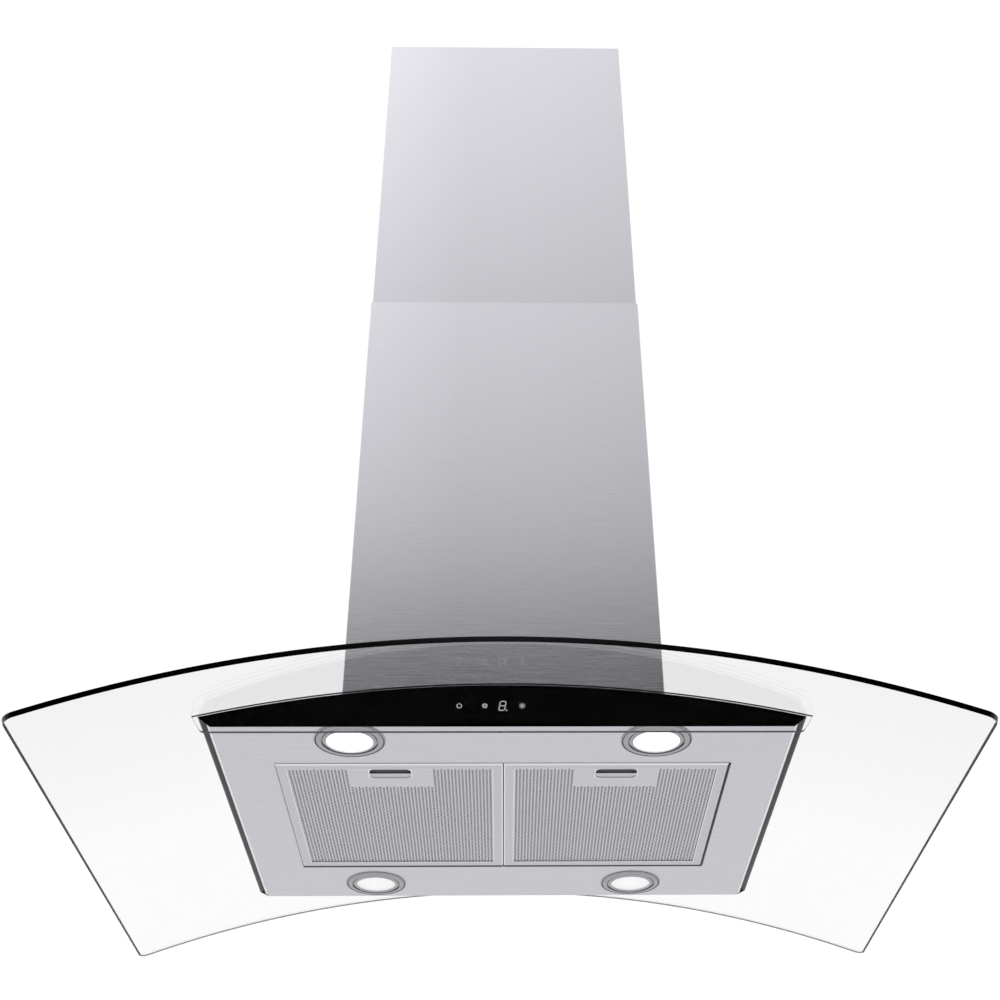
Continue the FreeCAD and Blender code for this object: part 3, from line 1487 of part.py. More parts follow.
def damper_flap(side, sx):
    """Half-round flap with two knuckles on the middle pin; lies level when shut."""
    body = new_body(f"damper_flap_{side}")
    reach = dim("spigot_radius") - dim("spigot_wall") - dim("flap_play")
    bore = dim("flap_pin_radius") + dim("bearing_play")
    knuckle = bore + dim("knuckle_wall")
    start = knuckle + dim("flap_root_gap")
    half_sheet = dim("flap_sheet") / 2
    end = root(reach * reach - start * start)
    half_disc = outline(
        [(DUCT_X + sx * start, -end), (DUCT_X + sx * reach, as_size(0)), (DUCT_X + sx * start, end)],
        {0: ((DUCT_X, 0), reach), 1: ((DUCT_X, 0), reach)},
    )
    pad(body, "XY_Plane", FLAP_Z - half_sheet, FLAP_Z + half_sheet, half_disc)
    length, gap = dim("knuckle_length"), dim("knuckle_gap")
    for low in (-2 * length - 1.5 * gap, gap / 2):
        low = low if sx < 0 else low + length + gap
        arm = sorted((DUCT_X, DUCT_X + sx * (start + dim("knuckle_root"))), key=lambda size: size.number)
        pad(
            body, "XY_Plane", FLAP_Z - half_sheet, FLAP_Z + half_sheet,
            rectangle(*arm, low, low + length),
        )
        pad(body, "XZ_Plane", low, low + length, circle(DUCT_X, FLAP_Z, knuckle))
        pocket(body, "XZ_Plane", low - gap / 4, low + length + gap / 4, circle(DUCT_X, FLAP_Z, bore))
    return body


def terminal_box():
    """Mains connection box on the blower box's right side."""
    body = new_body("terminal_box")
    low_x = dim("box_width") / 2
    half_y = dim("terminal_depth") / 2
    low_z = BOX_BOTTOM + dim("terminal_level")
    pad(
        body, "XY_Plane", low_z, low_z + dim("terminal_height"),
        rectangle(low_x, low_x + dim("terminal_width"), -half_y, half_y),
    )

    def outer_corner(edge):
        return along_z(edge) and not near(edge.Vertexes[0].Point.x, low_x)

    dress(body, "Fillet", dim("terminal_corner"), outer_corner)
    return body


# ---------------------------------------------------------------- build and write
def build():
    plate = ceiling_plate()
    drill_rim(plate, SKIRT_X, -dim("cover_screw_drop"))
    base = base_frame()
    drill_rim(base, BASE_X, BASE_TOP + dim("base_lip") / 2)
    parts = [plate, base]
    for corner, sx, sy in CORNERS:
        parts.append(upper_post(corner, sx, sy))
        parts.append(lower_post(corner, sx, sy))
    for side, sy in (("front", -1), ("rear", 1)):
        parts.append(upper_cover(side, sy))
        parts.append(lower_cover(side, sy))
        parts.append(inlet_ring(side, sy))
    parts.append(cover_screws("upper_cover_screws", UPPER_X, -dim("cover_screw_drop")))
    parts.append(cover_screws("lower_cover_screws", LOWER_X, BASE_TOP + dim("base_lip") / 2))
    parts += [post_bolts(), air_collar(), glass_canopy(), lower_seal(), upper_seal()]
    parts += [body_shell(), bottom_pan(), pan_screws()]
    parts += [front_panel(), panel_print(), touch_board(), display_module()]
    for corner, x, y in lamp_places():
        parts.append(lamp_bezel(corner, x, y))
        parts.append(lamp_lens(corner, x, y))
    for side, sx in (("left", -1), ("right", 1)):
        x = sx * FILTER_X
        parts += [filter_frame(side, x), filter_face(side, x), filter_core(side, x)]
        parts += [latch(side, x), latch_spring(side, x)]
        parts.append(damper_flap(side, sx))
    parts += [blower_box(), scroll_housing(), impeller(), motor_shaft(), motor(), motor_bracket()]
    parts += [outlet_collar(), flap_pin(), terminal_box()]
    return parts


def check(parts):
    failed = [item.Label for item in DOC.Objects if "Invalid" in item.State or "Error" in item.State]
    for part in parts:
        if part.Shape.isNull() or not part.Shape.isValid() or part.Shape.Volume <= 0:
            failed.append(part.Label)
    if failed:
        raise RuntimeError(f"failed objects: {sorted(set(failed))}")


def main():
    parts = build()
    DOC.recompute()
    check(parts)
    os.makedirs("parts", exist_ok=True)
    for part in parts:
        part.Shape.exportStep(f"parts/{part.Label}.step")
    print(len(parts), "nodes")


main()
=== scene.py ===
import json
import math

import bmesh
import bpy
from mathutils import Matrix, Vector


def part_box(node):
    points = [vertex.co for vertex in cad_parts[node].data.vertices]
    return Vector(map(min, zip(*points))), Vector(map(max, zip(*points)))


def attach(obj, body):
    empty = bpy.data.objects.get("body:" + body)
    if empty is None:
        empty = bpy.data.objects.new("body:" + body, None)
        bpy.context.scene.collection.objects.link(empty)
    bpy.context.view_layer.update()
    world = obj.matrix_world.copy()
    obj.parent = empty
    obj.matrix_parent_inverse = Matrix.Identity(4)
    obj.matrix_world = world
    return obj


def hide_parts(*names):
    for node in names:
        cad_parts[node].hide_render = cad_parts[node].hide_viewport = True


# Looks of a ceiling-hung range hood. Metres; +Z up, -Y the front, +X the right seen from the front.
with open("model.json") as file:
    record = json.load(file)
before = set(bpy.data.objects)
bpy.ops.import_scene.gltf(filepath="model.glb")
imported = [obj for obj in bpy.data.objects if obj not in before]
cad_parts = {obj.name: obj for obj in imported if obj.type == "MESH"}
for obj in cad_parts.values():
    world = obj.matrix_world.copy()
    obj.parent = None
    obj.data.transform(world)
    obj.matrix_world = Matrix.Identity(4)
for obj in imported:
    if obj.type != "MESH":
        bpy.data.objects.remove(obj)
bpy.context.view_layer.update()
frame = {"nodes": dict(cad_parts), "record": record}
MM = 0.001


# ---------------------------------------------------------------- node helpers
def new_material(name):
    """Empty node material. Returns the material, a node maker and a linker."""
    material = bpy.data.materials.new(name)
    material.use_nodes = True
    tree = material.node_tree
    tree.nodes.clear()

    def node(kind, **settings):
        made = tree.nodes.new(kind)
        for key, value in settings.items():
            if hasattr(made, key):
                setattr(made, key, value)
            else:
                made.inputs[key].default_value = value
        return made

    return material, node, tree.links.new


def principled(node, link, color, rough, metal=0.0, **more):
    """Principled shader joined to the output. more holds further sockets by name."""
    shader = node("ShaderNodeBsdfPrincipled")
    shader.inputs["Base Color"].default_value = (*color, 1.0)
    shader.inputs["Roughness"].default_value = rough
    shader.inputs["Metallic"].default_value = metal
    for key, value in more.items():
        shader.inputs[key.replace("_", " ")].default_value = value
    output = node("ShaderNodeOutputMaterial")
    link(shader.outputs[0], output.inputs["Surface"])
    return shader


def stretched_noise(node, link, scale, detail=2.0, rough=0.5):
    """Noise whose grain is stretched: scale holds waves per metre along X, Y and Z."""
    place = node("ShaderNodeTexCoord")
    mapping = node("ShaderNodeMapping")
    mapping.inputs["Scale"].default_value = scale
    noise = node("ShaderNodeTexNoise")
    noise.inputs["Scale"].default_value = 1.0
    noise.inputs["Detail"].default_value = detail
    noise.inputs["Roughness"].default_value = rough
    link(place.outputs["Object"], mapping.inputs["Vector"])
    link(mapping.outputs["Vector"], noise.inputs["Vector"])
    return noise.outputs["Fac"]


def spread(node, link, source, low, high, from_low=0.3, from_high=0.7):
    """Map a 0 to 1 value to the range low to high."""
    remap = node("ShaderNodeMapRange")
    remap.inputs["From Min"].default_value = from_low
    remap.inputs["From Max"].default_value = from_high
    remap.inputs["To Min"].default_value = low
    remap.inputs["To Max"].default_value = high
    link(source, remap.inputs["Value"])
    return remap.outputs["Result"]


def tint(node, link, source, dark, light):
    """Blend two colours by a 0 to 1 value."""
    ramp = node("ShaderNodeValToRGB")
    ramp.color_ramp.elements[0].position = 0.25
    ramp.color_ramp.elements[1].position = 0.75
    ramp.color_ramp.elements[0].color = (*dark, 1.0)
    ramp.color_ramp.elements[1].color = (*light, 1.0)
    link(source, ramp.inputs["Fac"])
    return ramp.outputs["Color"]


def bump(node, link, source, shader, strength, distance):
    """Fine relief from a 0 to 1 height."""
    relief = node("ShaderNodeBump")
    relief.inputs["Strength"].default_value = strength
    relief.inputs["Distance"].default_value = distance
    link(source, relief.inputs["Height"])
    link(relief.outputs["Normal"], shader.inputs["Normal"])


def grey_levels(ramp, stops):
    """Set a colour ramp to grey levels. stops holds (place, level) pairs."""
    elements = ramp.color_ramp.elements
    while len(elements) < len(stops):
        elements.new(0.5)
    for element, (where, level) in zip(elements, stops):
        element.position = where
        element.color = (level, level, level, 1.0)


def fade(node, link, axis, stops, source):
    """Multiply a colour by grey levels spread over the object's extent along one axis."""
    place = node("ShaderNodeTexCoord")
    split = node("ShaderNodeSeparateXYZ")
    ramp = node("ShaderNodeValToRGB")
    grey_levels(ramp, stops)
    mix = node("ShaderNodeMix", data_type="RGBA", blend_type="MULTIPLY")
    mix.inputs["Factor"].default_value = 1.0
    link(place.outputs["Generated"], split.inputs[0])
    link(split.outputs[axis], ramp.inputs["Fac"])
    link(source, mix.inputs["A"])
    link(ramp.outputs["Color"], mix.inputs["B"])
    return mix.outputs["Result"]


# ---------------------------------------------------------------- materials
def brushed(name, color, grain, rough=0.30, contrast=0.05, metal=1.0, fades=()):
    """Brushed sheet. grain holds the waves per metre of its scratches along X, Y and Z."""
    material, node, link = new_material(name)
    shader = principled(node, link, color, rough, metal)
    fine = stretched_noise(node, link, grain, detail=3.0, rough=0.6)
    dark = tuple(c * (1 - contrast) for c in color)
    light = tuple(min(1.0, c * (1 + contrast)) for c in color)
    finish = tint(node, link, fine, dark, light)
    for axis, stops in fades:
        finish = fade(node, link, axis, stops, finish)
    link(finish, shader.inputs["Base Color"])
    link(spread(node, link, fine, rough - 0.06, rough + 0.06), shader.inputs["Roughness"])
    bump(node, link, fine, shader, 0.12, 0.00005)
    return material


def mottled(name, color, rough, metal=0.0, contrast=0.12, scale=60.0, relief=0.05, **more):
    """Surface with faint, even cloudiness, for mouldings, paint and zinc."""
    material, node, link = new_material(name)
    shader = principled(node, link, color, rough, metal, **more)
    cloud = stretched_noise(node, link, (scale, scale, scale), detail=4.0, rough=0.6)
    dark = tuple(c * (1 - contrast) for c in color)
    light = tuple(min(1.0, c * (1 + contrast)) for c in color)
    link(tint(node, link, cloud, dark, light), shader.inputs["Base Color"])
    link(spread(node, link, cloud, max(0.02, rough - 0.05), rough + 0.05), shader.inputs["Roughness"])
    bump(node, link, stretched_noise(node, link, (900.0, 900.0, 900.0)), shader, relief, 0.0001)
    return material


def clear_glass(name, color, haze, density=1.5, stops=()):
    """Clear sheet with a trace of surface haze. stops, if any, dim its tint from front to rear."""
    material, node, link = new_material(name)
    shader = principled(node, link, color, 0.0, 0.0, Transmission_Weight=1.0, IOR=density)
    if stops:
        plain = node("ShaderNodeRGB")
        plain.outputs[0].default_value = (*color, 1.0)
        link(fade(node, link, "Y", stops, plain.outputs[0]), shader.inputs["Base Color"])
    haze_map = stretched_noise(node, link, (3.0, 3.0, 3.0), detail=2.0)
    link(spread(node, link, haze_map, 0.0, haze), shader.inputs["Roughness"])
    return material


def glowing(name, color, strength, edge):
    """Lit diffuser: brightest in the middle, a little dimmer towards its rim."""
    material, node, link = new_material(name)
    shader = principled(node, link, (0.9, 0.9, 0.9), 0.35)
    place = node("ShaderNodeTexCoord")
    centre = node("ShaderNodeVectorMath", operation="SUBTRACT")
    centre.inputs[1].default_value = (0.5, 0.5, 0.5)
    flat = node("ShaderNodeVectorMath", operation="MULTIPLY")
    flat.inputs[1].default_value = (1.0, 1.0, 0.0)
    reach = node("ShaderNodeVectorMath", operation="LENGTH")
    link(place.outputs["Generated"], centre.inputs[0])
    link(centre.outputs["Vector"], flat.inputs[0])
    link(flat.outputs["Vector"], reach.inputs[0])
    glow = spread(node, link, reach.outputs["Value"], strength, edge, 0.1, 0.5)
    shader.inputs["Emission Color"].default_value = (*color, 1.0)
    link(glow, shader.inputs["Emission Strength"])
    return material


def lit_sign(name, color, strength):
    """Sign or digit lit from behind, with faint unevenness."""
    material, node, link = new_material(name)
    shader = principled(node, link, (0.5, 0.5, 0.5), 0.5)
    patchy = stretched_noise(node, link, (400.0, 400.0, 400.0))
    shader.inputs["Emission Color"].default_value = (*color, 1.0)
    link(spread(node, link, patchy, strength * 0.9, strength * 1.1), shader.inputs["Emission Strength"])
    return material


STEEL = (0.74, 0.732, 0.782)
COVER = (0.84, 0.832, 0.889)
ALUMINIUM = (0.72, 0.715, 0.755)
TRIM = (0.69, 0.685, 0.72)
COVER_GRAIN = (14.0, 14.0, 1300.0)       # scratches run round the chimney
PAN_GRAIN = (14.0, 1300.0, 1300.0)       # and across the pan
FRAME_GRAIN = (20.0, 700.0, 700.0)
PAINTED_SIDE_HIGHLIGHT = ("X", [(0.0, 1.0), (0.35, 0.885), (0.6, 0.865), (1.0, 0.82)])   # chimney: painted highlight at its left side, darker to the right
PAINTED_FOOT_SHADE = ("Z", [(0.12, 0.885), (0.95, 1.0)])                  # upper cover: painted shade towards its foot, lighter at its top
PAINTED_GAP_SHADOW = ("Z", [(0.0, 0.06), (0.3, 0.06), (0.55, 1.0)])    # painted shadow in the gap round a filter's frame
PAINTED_CUP_SHADE = ("Z", [(0.3, 1.0), (0.7, 0.16)])                  # painted shade in the depth of the finger cup
GLASS_TINT = ((0.0, 0.89), (0.2, 0.92), (0.55, 0.985), (1.0, 1.0))
MATERIALS = {
    # chimney covers carry the painted side highlight
    "cover_steel": brushed("cover_steel", COVER, COVER_GRAIN, rough=0.24, fades=(PAINTED_SIDE_HIGHLIGHT,)),
    # upper covers: the painted side highlight and painted shade at their foot
    "upper_steel_painted_light": brushed("upper_steel_painted_light", COVER, COVER_GRAIN, rough=0.24, fades=(PAINTED_SIDE_HIGHLIGHT, PAINTED_FOOT_SHADE)),
    "pan_steel": brushed("pan_steel", STEEL, PAN_GRAIN, rough=0.30),
    # near black body: its tone stands in for dark reflections on the side walls, a painted reflection
    "shell_paint": mottled("shell_paint", (0.035, 0.035, 0.038), 0.32, 0.2),
    "zinc_steel": mottled("zinc_steel", (0.50, 0.51, 0.52), 0.45, 0.9, scale=120.0),
    "screw_steel": mottled("screw_steel", (0.55, 0.55, 0.55), 0.25, 1.0, scale=300.0),
    "canopy_glass": clear_glass("canopy_glass", (1.0, 0.992, 1.0), 0.01, stops=GLASS_TINT),
    "panel_glass": clear_glass("panel_glass", (0.97, 0.965, 0.985), 0.01, 1.2),
    "panel_black": mottled(
        "panel_black", (0.0015, 0.0015, 0.0018), 0.5, relief=0.0, Specular_IOR_Level=0.0
    ),
    "seal_rubber": mottled("seal_rubber", (0.02, 0.02, 0.02), 0.7),
    "circuit_board": mottled("circuit_board", (0.02, 0.10, 0.04), 0.4),
    "display_black": mottled("display_black", (0.01, 0.01, 0.012), 0.2),
    "lamp_metal": brushed(
        "lamp_metal", (0.46, 0.455, 0.48), (500.0, 500.0, 500.0), rough=0.22, contrast=0.08
    ),
    "lamp_diffuser": glowing("lamp_diffuser", (1.0, 1.0, 1.0), 2.2, 1.1),
    "rear_diffuser": glowing("rear_diffuser", (0.98, 0.97, 1.0), 0.29, 0.26),
    "sign_light": lit_sign("sign_light", (0.95, 0.96, 1.0), 0.42),
    "blower_plastic": mottled("blower_plastic", (0.03, 0.03, 0.032), 0.5),
    "impeller_plastic": mottled("impeller_plastic", (0.08, 0.08, 0.085), 0.45),
    "motor_paint": mottled("motor_paint", (0.05, 0.05, 0.052), 0.35, 0.3),
    "filter_aluminium": brushed("filter_aluminium", ALUMINIUM, FRAME_GRAIN, rough=0.32, contrast=0.03),
    # filter frames: painted shadow along their foot, dark where the gap round them shows
    "frame_painted_shadow": brushed("frame_painted_shadow", (0.66, 0.655, 0.69), FRAME_GRAIN, rough=0.42, fades=(PAINTED_GAP_SHADOW,)),
    # filter cores: layered mesh, darkened further as painted shade behind the face sheets
    "mesh_core_painted_shade": mottled("mesh_core_painted_shade", (0.26, 0.26, 0.265), 0.6, 0.3, contrast=0.3, scale=900.0),
    # ground glass edges: near black at the sides and grey at the rear, painted reflections of dark
    # surroundings
    "glass_edge_painted_reflection": mottled("glass_edge_painted_reflection", (0.012, 0.013, 0.014), 0.25, contrast=0.2, scale=200.0),
    "rear_edge_painted_reflection": mottled("rear_edge_painted_reflection", (0.45, 0.45, 0.46), 0.5, contrast=0.2, scale=200.0),
    # painted highlight: near white with a faint glow, for lips, beads and rims
    "painted_highlight": mottled(
        "painted_highlight", (0.90, 0.895, 0.93), 0.35, contrast=0.04, scale=200.0,
        Emission_Color=(1.0, 0.99, 1.0, 1.0), Emission_Strength=0.12,
    ),
    "trim_aluminium": brushed("trim_aluminium", TRIM, FRAME_GRAIN, rough=0.36, contrast=0.03),
    # latches: painted shade over their upper part, the depth of the finger cup
    "latch_steel": brushed(
        "latch_steel", (0.70, 0.695, 0.73), (14.0, 900.0, 900.0), rough=0.45, metal=0.25,
        fades=(PAINTED_CUP_SHADE,),
    ),
}
SLOT_OF = {row["node"]: row["material_slot"] for row in frame["record"]["subparts"]}
PAINT_OF = {
    "upper_cover_front": "upper_steel_painted_light", "upper_cover_rear": "upper_steel_painted_light",
    "filter_core_left": "mesh_core_painted_shade", "filter_core_right": "mesh_core_painted_shade",
    "filter_frame_left": "frame_painted_shadow", "filter_frame_right": "frame_painted_shadow",
    "lamp_lens_rear_left": "rear_diffuser", "lamp_lens_rear_right": "rear_diffuser",
}


def dress_nodes():
    """Give every carried-over node its own paint, or else the material of its slot."""
    for name, item in frame["nodes"].items():
        item.data.materials.clear()
        item.data.materials.append(MATERIALS[PAINT_OF.get(name, SLOT_OF[name])])


# ---------------------------------------------------------------- mesh helpers
def new_piece(name, vertices, faces, slot, body, smooth=True, paint=None):
    """Mesh object that rides on a body. paint names its material where that isn't its slot's."""
    mesh = bpy.data.meshes.new(name)
    mesh.from_pydata(vertices, [], faces)
    mesh.validate()
    piece = bpy.data.objects.new(name, mesh)
    bpy.context.scene.collection.objects.link(piece)
    tidy = bmesh.new()
    tidy.from_mesh(mesh)
    bmesh.ops.recalc_face_normals(tidy, faces=tidy.faces)
    tidy.to_mesh(mesh)
    tidy.free()
    if smooth:
        mesh.shade_smooth()
    mesh.materials.append(MATERIALS[paint or slot])
    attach(piece, body)
    return piece


def bevel(piece, width, segments=2, angle=30.0):
    """Rounded edges wherever two faces meet at more than the angle."""
    dressing = piece.modifiers.new("rounded", "BEVEL")
    dressing.width = width
    dressing.segments = segments
    dressing.limit_method = "ANGLE"
    dressing.angle_limit = math.radians(angle)
    dressing.harden_normals = True
    return dressing


def rounded(corners, steps=6):
    """Outline through corners given as (x, y, radius), each turned into an arc where it has a radius."""
    outline = []
    for n, (x, y, radius) in enumerate(corners):
        here = Vector((x, y))
        if radius == 0:
            outline.append(tuple(here))
            continue
        back = (Vector(corners[n - 1][:2]) - here).normalized()
        ahead = (Vector(corners[(n + 1) % len(corners)][:2]) - here).normalized()
        half = back.angle(ahead) / 2
        middle = here + (back + ahead).normalized() * radius / math.sin(half)
        start = here + back * radius / math.tan(half) - middle
        turn = -start.angle_signed(here + ahead * radius / math.tan(half) - middle)
        for step in range(steps + 1):
            arm = Matrix.Rotation(turn * step / steps, 2) @ start
            outline.append(tuple(middle + arm))
    return outline


def prism_faces(count):
    """Faces of a prism: two ends of count points each, and the quads between them."""
    faces = [tuple(range(count)), tuple(range(count, 2 * count))]
    faces += [(n, (n + 1) % count, count + (n + 1) % count, count + n) for n in range(count)]
    return faces


def upright_prism(name, outline, near, far, slot, body, **more):
    """Plate of this outline of (x, z) points between two places along Y."""
    vertices = [(x, y, z) for y in (near, far) for x, z in outline]
    return new_piece(name, vertices, prism_faces(len(outline)), slot, body, **more)


def lathe(name, profile, centre, slot, body, steps=96):
    """Turned piece: the profile of (radius, height) points goes round the vertical through the centre."""
    vertices, faces = [], []
    rows = len(profile)
    for step in range(steps):
        turn = 2 * math.pi * step / steps
        for radius, height in profile:
            arm = Vector((radius * math.cos(turn), radius * math.sin(turn), height))
            vertices.append(centre + arm)
    for step in range(steps):
        here, there = step * rows, (step + 1) % steps * rows
        for row in range(rows):
            after = (row + 1) % rows
            faces.append((here + row, there + row, there + after, here + after))
    return new_piece(name, vertices, faces, slot, body)


# ---------------------------------------------------------------- camera, light and floor
PAN_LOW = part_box("bottom_pan")[0]
GLASS_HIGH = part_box("glass_canopy")[1]
FLOOR_DEPTH = 1.85             # of the floor under the pan


def make_camera():
    """Below the hood and in front of it, looking up, as the photograph was taken."""
    camera = bpy.data.cameras.new("camera")
    camera.sensor_width = 36.0
    camera.lens = 52.866
    camera.shift_x = -0.035636
    camera.clip_end = 100.0
    item = bpy.data.objects.new("camera", camera)
    bpy.context.scene.collection.objects.link(item)
    pitch, yaw, roll = math.radians(36.005), math.radians(1.456), math.radians(-0.745)
    ahead = Vector((math.sin(yaw) * math.cos(pitch), math.cos(yaw) * math.cos(pitch), math.sin(pitch)))
    level = Vector((math.cos(yaw), -math.sin(yaw), 0.0))
    right = math.cos(roll) * level + math.sin(roll) * level.cross(ahead)
    item.location = (0.0015, -1.4940, GLASS_HIGH.z - 0.7011)
    item.rotation_euler = Matrix((right, right.cross(ahead), -ahead)).transposed().to_euler()
    bpy.context.scene.camera = item


def make_floor():
    """Pale floor far below the hood."""
    material, node, link = new_material("floor_paint")
    shader = principled(node, link, (0.80, 0.80, 0.80), 0.6)
    cloud = stretched_noise(node, link, (0.8, 0.8, 0.8), detail=3.0)
    link(tint(node, link, cloud, (0.79, 0.79, 0.79), (0.81, 0.81, 0.81)), shader.inputs["Base Color"])
    bpy.ops.mesh.primitive_circle_add(vertices=128, radius=60.0, fill_type="NGON")
    floor = bpy.context.object
    floor.name = "floor"
    floor.location.z = PAN_LOW.z - FLOOR_DEPTH
    floor.data.materials.append(material)


def make_world():
    """White studio whose reflections are darker low down in front of the hood and brighter overhead."""
    world = bpy.data.worlds.new("studio")
    bpy.context.scene.world = world
    world.use_nodes = True
    tree = world.node_tree
    tree.nodes.clear()
    link = tree.links.new
    place = tree.nodes.new("ShaderNodeTexCoord")
    split = tree.nodes.new("ShaderNodeSeparateXYZ")
    link(place.outputs["Generated"], split.inputs[0])

    def ramp(source, stops):
        made = tree.nodes.new("ShaderNodeValToRGB")
        grey_levels(made, stops)
        link(source, made.inputs["Fac"])
        return made.outputs["Color"]

    height = ramp(split.outputs["Z"], [
        (0.0, 0.46), (0.27, 0.38), (0.35, 0.03), (0.485, 0.01), (0.503, 0.07),
        (0.52, 0.47), (0.56, 0.76), (0.65, 0.71), (0.68, 0.87), (0.82, 1.0),
    ])
    turned = tree.nodes.new("ShaderNodeMath")
    turned.operation = "MULTIPLY_ADD"
    turned.inputs[1].default_value = 0.5
    turned.inputs[2].default_value = 0.5
    link(split.outputs["Y"], turned.inputs[0])
    behind = ramp(turned.outputs[0], [(0.30, 0.0), (0.52, 1.0)])
    mix = tree.nodes.new("ShaderNodeMix")
    mix.data_type = "RGBA"
    link(behind, mix.inputs["Factor"])
    link(height, mix.inputs["A"])
    mix.inputs["B"].default_value = (1.0, 1.0, 1.0, 1.0)
    path = tree.nodes.new("ShaderNodeLightPath")
    backdrop = tree.nodes.new("ShaderNodeMix")
    backdrop.data_type = "RGBA"
    link(path.outputs["Is Camera Ray"], backdrop.inputs["Factor"])
    link(mix.outputs["Result"], backdrop.inputs["A"])
    backdrop.inputs["B"].default_value = (1.0, 1.0, 1.0, 1.0)
    background = tree.nodes.new("ShaderNodeBackground")
    background.inputs["Strength"].default_value = 1.05
    link(backdrop.outputs["Result"], background.inputs["Color"])
    output = tree.nodes.new("ShaderNodeOutputWorld")
    link(background.outputs[0], output.inputs["Surface"])


# ---------------------------------------------------------------- glass canopy
ARCH_RISE = 82.0 * MM
ARCH_RADIUS = GLASS_HIGH.x * GLASS_HIGH.x / (2 * ARCH_RISE) + ARCH_RISE / 2
ARCH_CENTRE = GLASS_HIGH.z - ARCH_RADIUS


def arch_line(radius, x_from, x_to, steps=48):
    """Points along the arch of this radius about the common centre."""
    spots = [x_from + (x_to - x_from) * n / steps for n in range(steps + 1)]
    return [(x, ARCH_CENTRE + math.sqrt(radius * radius - x * x)) for x in spots]


GLASS_SHEET = 6.0 * MM
GLASS_CORNER = 11.0 * MM
EDGE_BAND = 1.4 * MM           # of each side painted dark from its ground edge inwards, a painted reflection
CUT_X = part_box("air_collar")[1].x + 2.0 * MM
CUT_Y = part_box("air_collar")[1].y + 2.0 * MM
CUT_CORNER = 12.0 * MM


def corner_stations(edge, radius, steps):
    """Places along X over a rounded corner that ends at edge."""
    return [edge - radius + radius * math.sin(math.pi / 2 * n / steps) for n in range(steps + 1)]


def corner_reach(x, edge, reach, radius):
    """Half depth at x of a rectangle with rounded corners."""
    over = max(0.0, abs(x) - (edge - radius))
    return reach - radius + math.sqrt(max(0.0, radius * radius - over * over))


def canopy_glass():
    """Arched sheet with a rounded cut-out, built in columns across its width."""
    thick, half, deep = GLASS_SHEET, GLASS_HIGH.x, GLASS_HIGH.y
    centre, radius = ARCH_CENTRE, ARCH_RADIUS
    stations = set(corner_stations(half, GLASS_CORNER, 8)) | set(corner_stations(CUT_X, CUT_CORNER, 6))
    stations |= {half * n / 60 for n in range(61)}
    rim = sorted(s for s in stations if s > 0)
    rim = [s for n, s in enumerate(rim) if n == 0 or s - rim[n - 1] > 1e-4]
    columns = [-s for s in reversed(rim)] + [0.0] + rim
    vertices, faces = [], []
    for x in columns:
        outer = corner_reach(x, half, deep, GLASS_CORNER)
        inner = CUT_Y - CUT_CORNER
        if abs(x) <= CUT_X + 1e-9:
            inner = corner_reach(x, CUT_X, CUT_Y, CUT_CORNER)
        lean = math.asin(x / radius)
        for level in (radius, radius - thick):
            for y in (-outer, -inner, inner, outer):
                vertices.append((level * math.sin(lean), y, centre + level * math.cos(lean)))
    inside = [abs(x) <= CUT_X + 1e-9 for x in columns]
    for n in range(len(columns) - 1):
        a, b = 8 * n, 8 * (n + 1)
        open_middle = inside[n] and inside[n + 1]
        for row in range(3):
            if row == 1 and open_middle:
                continue
            faces.append((a + row, b + row, b + row + 1, a + row + 1))
            faces.append((a + 4 + row, a + 5 + row, b + 5 + row, b + 4 + row))
        for row in (0, 3):
            faces.append((a + row, a + 4 + row, b + 4 + row, b + row))
        if open_middle:
            for row in (1, 2):
                faces.append((a + row, a + 4 + row, b + 4 + row, b + row))
        for here, there, base in ((inside[n], inside[n + 1], b), (inside[n + 1], inside[n], a)):
            if there and not here:
                faces.append((base + 1, base + 2, base + 6, base + 5))
    for base in (0, 8 * (len(columns) - 1)):
        for row in range(3):
            faces.append((base + row, base + row + 1, base + 5 + row, base + 4 + row))
    piece = new_piece("canopy_sheet", vertices, faces, "canopy_glass", "hood")
    piece.data.materials.append(MATERIALS["glass_edge_painted_reflection"])
    piece.data.materials.append(MATERIALS["rear_edge_painted_reflection"])
    # side edges and the steepest corner faces take the painted dark reflection, the rear edge the painted
    # grey one
    for face in piece.data.polygons:
        across, behind = abs(face.center.x), face.center.y
        if across > half - EDGE_BAND:
            face.material_index = 1
        elif abs(face.normal.z) > 0.5 or across < half - GLASS_CORNER and behind < deep - MM:
            continue
        elif abs(face.normal.x) > 0.75:
            face.material_index = 1
        elif behind > 0:
            face.material_index = 2
    bevel(piece, 0.7 * MM, 2, 50.0)
    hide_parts("glass_canopy")


# ---------------------------------------------------------------- front panel
PLATE_LOW, PLATE_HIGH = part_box("front_panel")
PLATE_LEAN = 10.5 * MM         # how much wider the plate is at its shoulders than at its foot
PLATE_CORNER = 6.0 * MM
SIGN_LEVEL = 28.7 * MM         # of the signs' middle above the plate's foot
SIGN_ROOM = 0.15 * MM          # behind the plate, for the signs


def front_plate():
    """Clear plate: straight foot with rounded corners, leaning ends, arched top, polished bevels."""
    foot, shoulder = PLATE_HIGH.x - PLATE_LEAN, PLATE_HIGH.x
    top = arch_line(PLATE_HIGH.z - ARCH_CENTRE, shoulder, -shoulder)
    corners = [(-foot, PLATE_LOW.z, PLATE_CORNER), (foot, PLATE_LOW.z, PLATE_CORNER)]
    outline = rounded(corners + [(x, z, 0) for x, z in top])
    back = PLATE_HIGH.y - SIGN_ROOM
    piece = upright_prism("panel_plate", outline, PLATE_LOW.y, back, "panel_glass", "hood")
    piece.data.materials.append(MATERIALS["glass_edge_painted_reflection"])
    # the plate's edges take the painted dark reflection
    for face in piece.data.polygons:
        face.material_index = 0 if abs(face.normal.y) > 0.5 else 1
    bevel(piece, 0.25 * MM, 2, 40.0)
    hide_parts("front_panel")


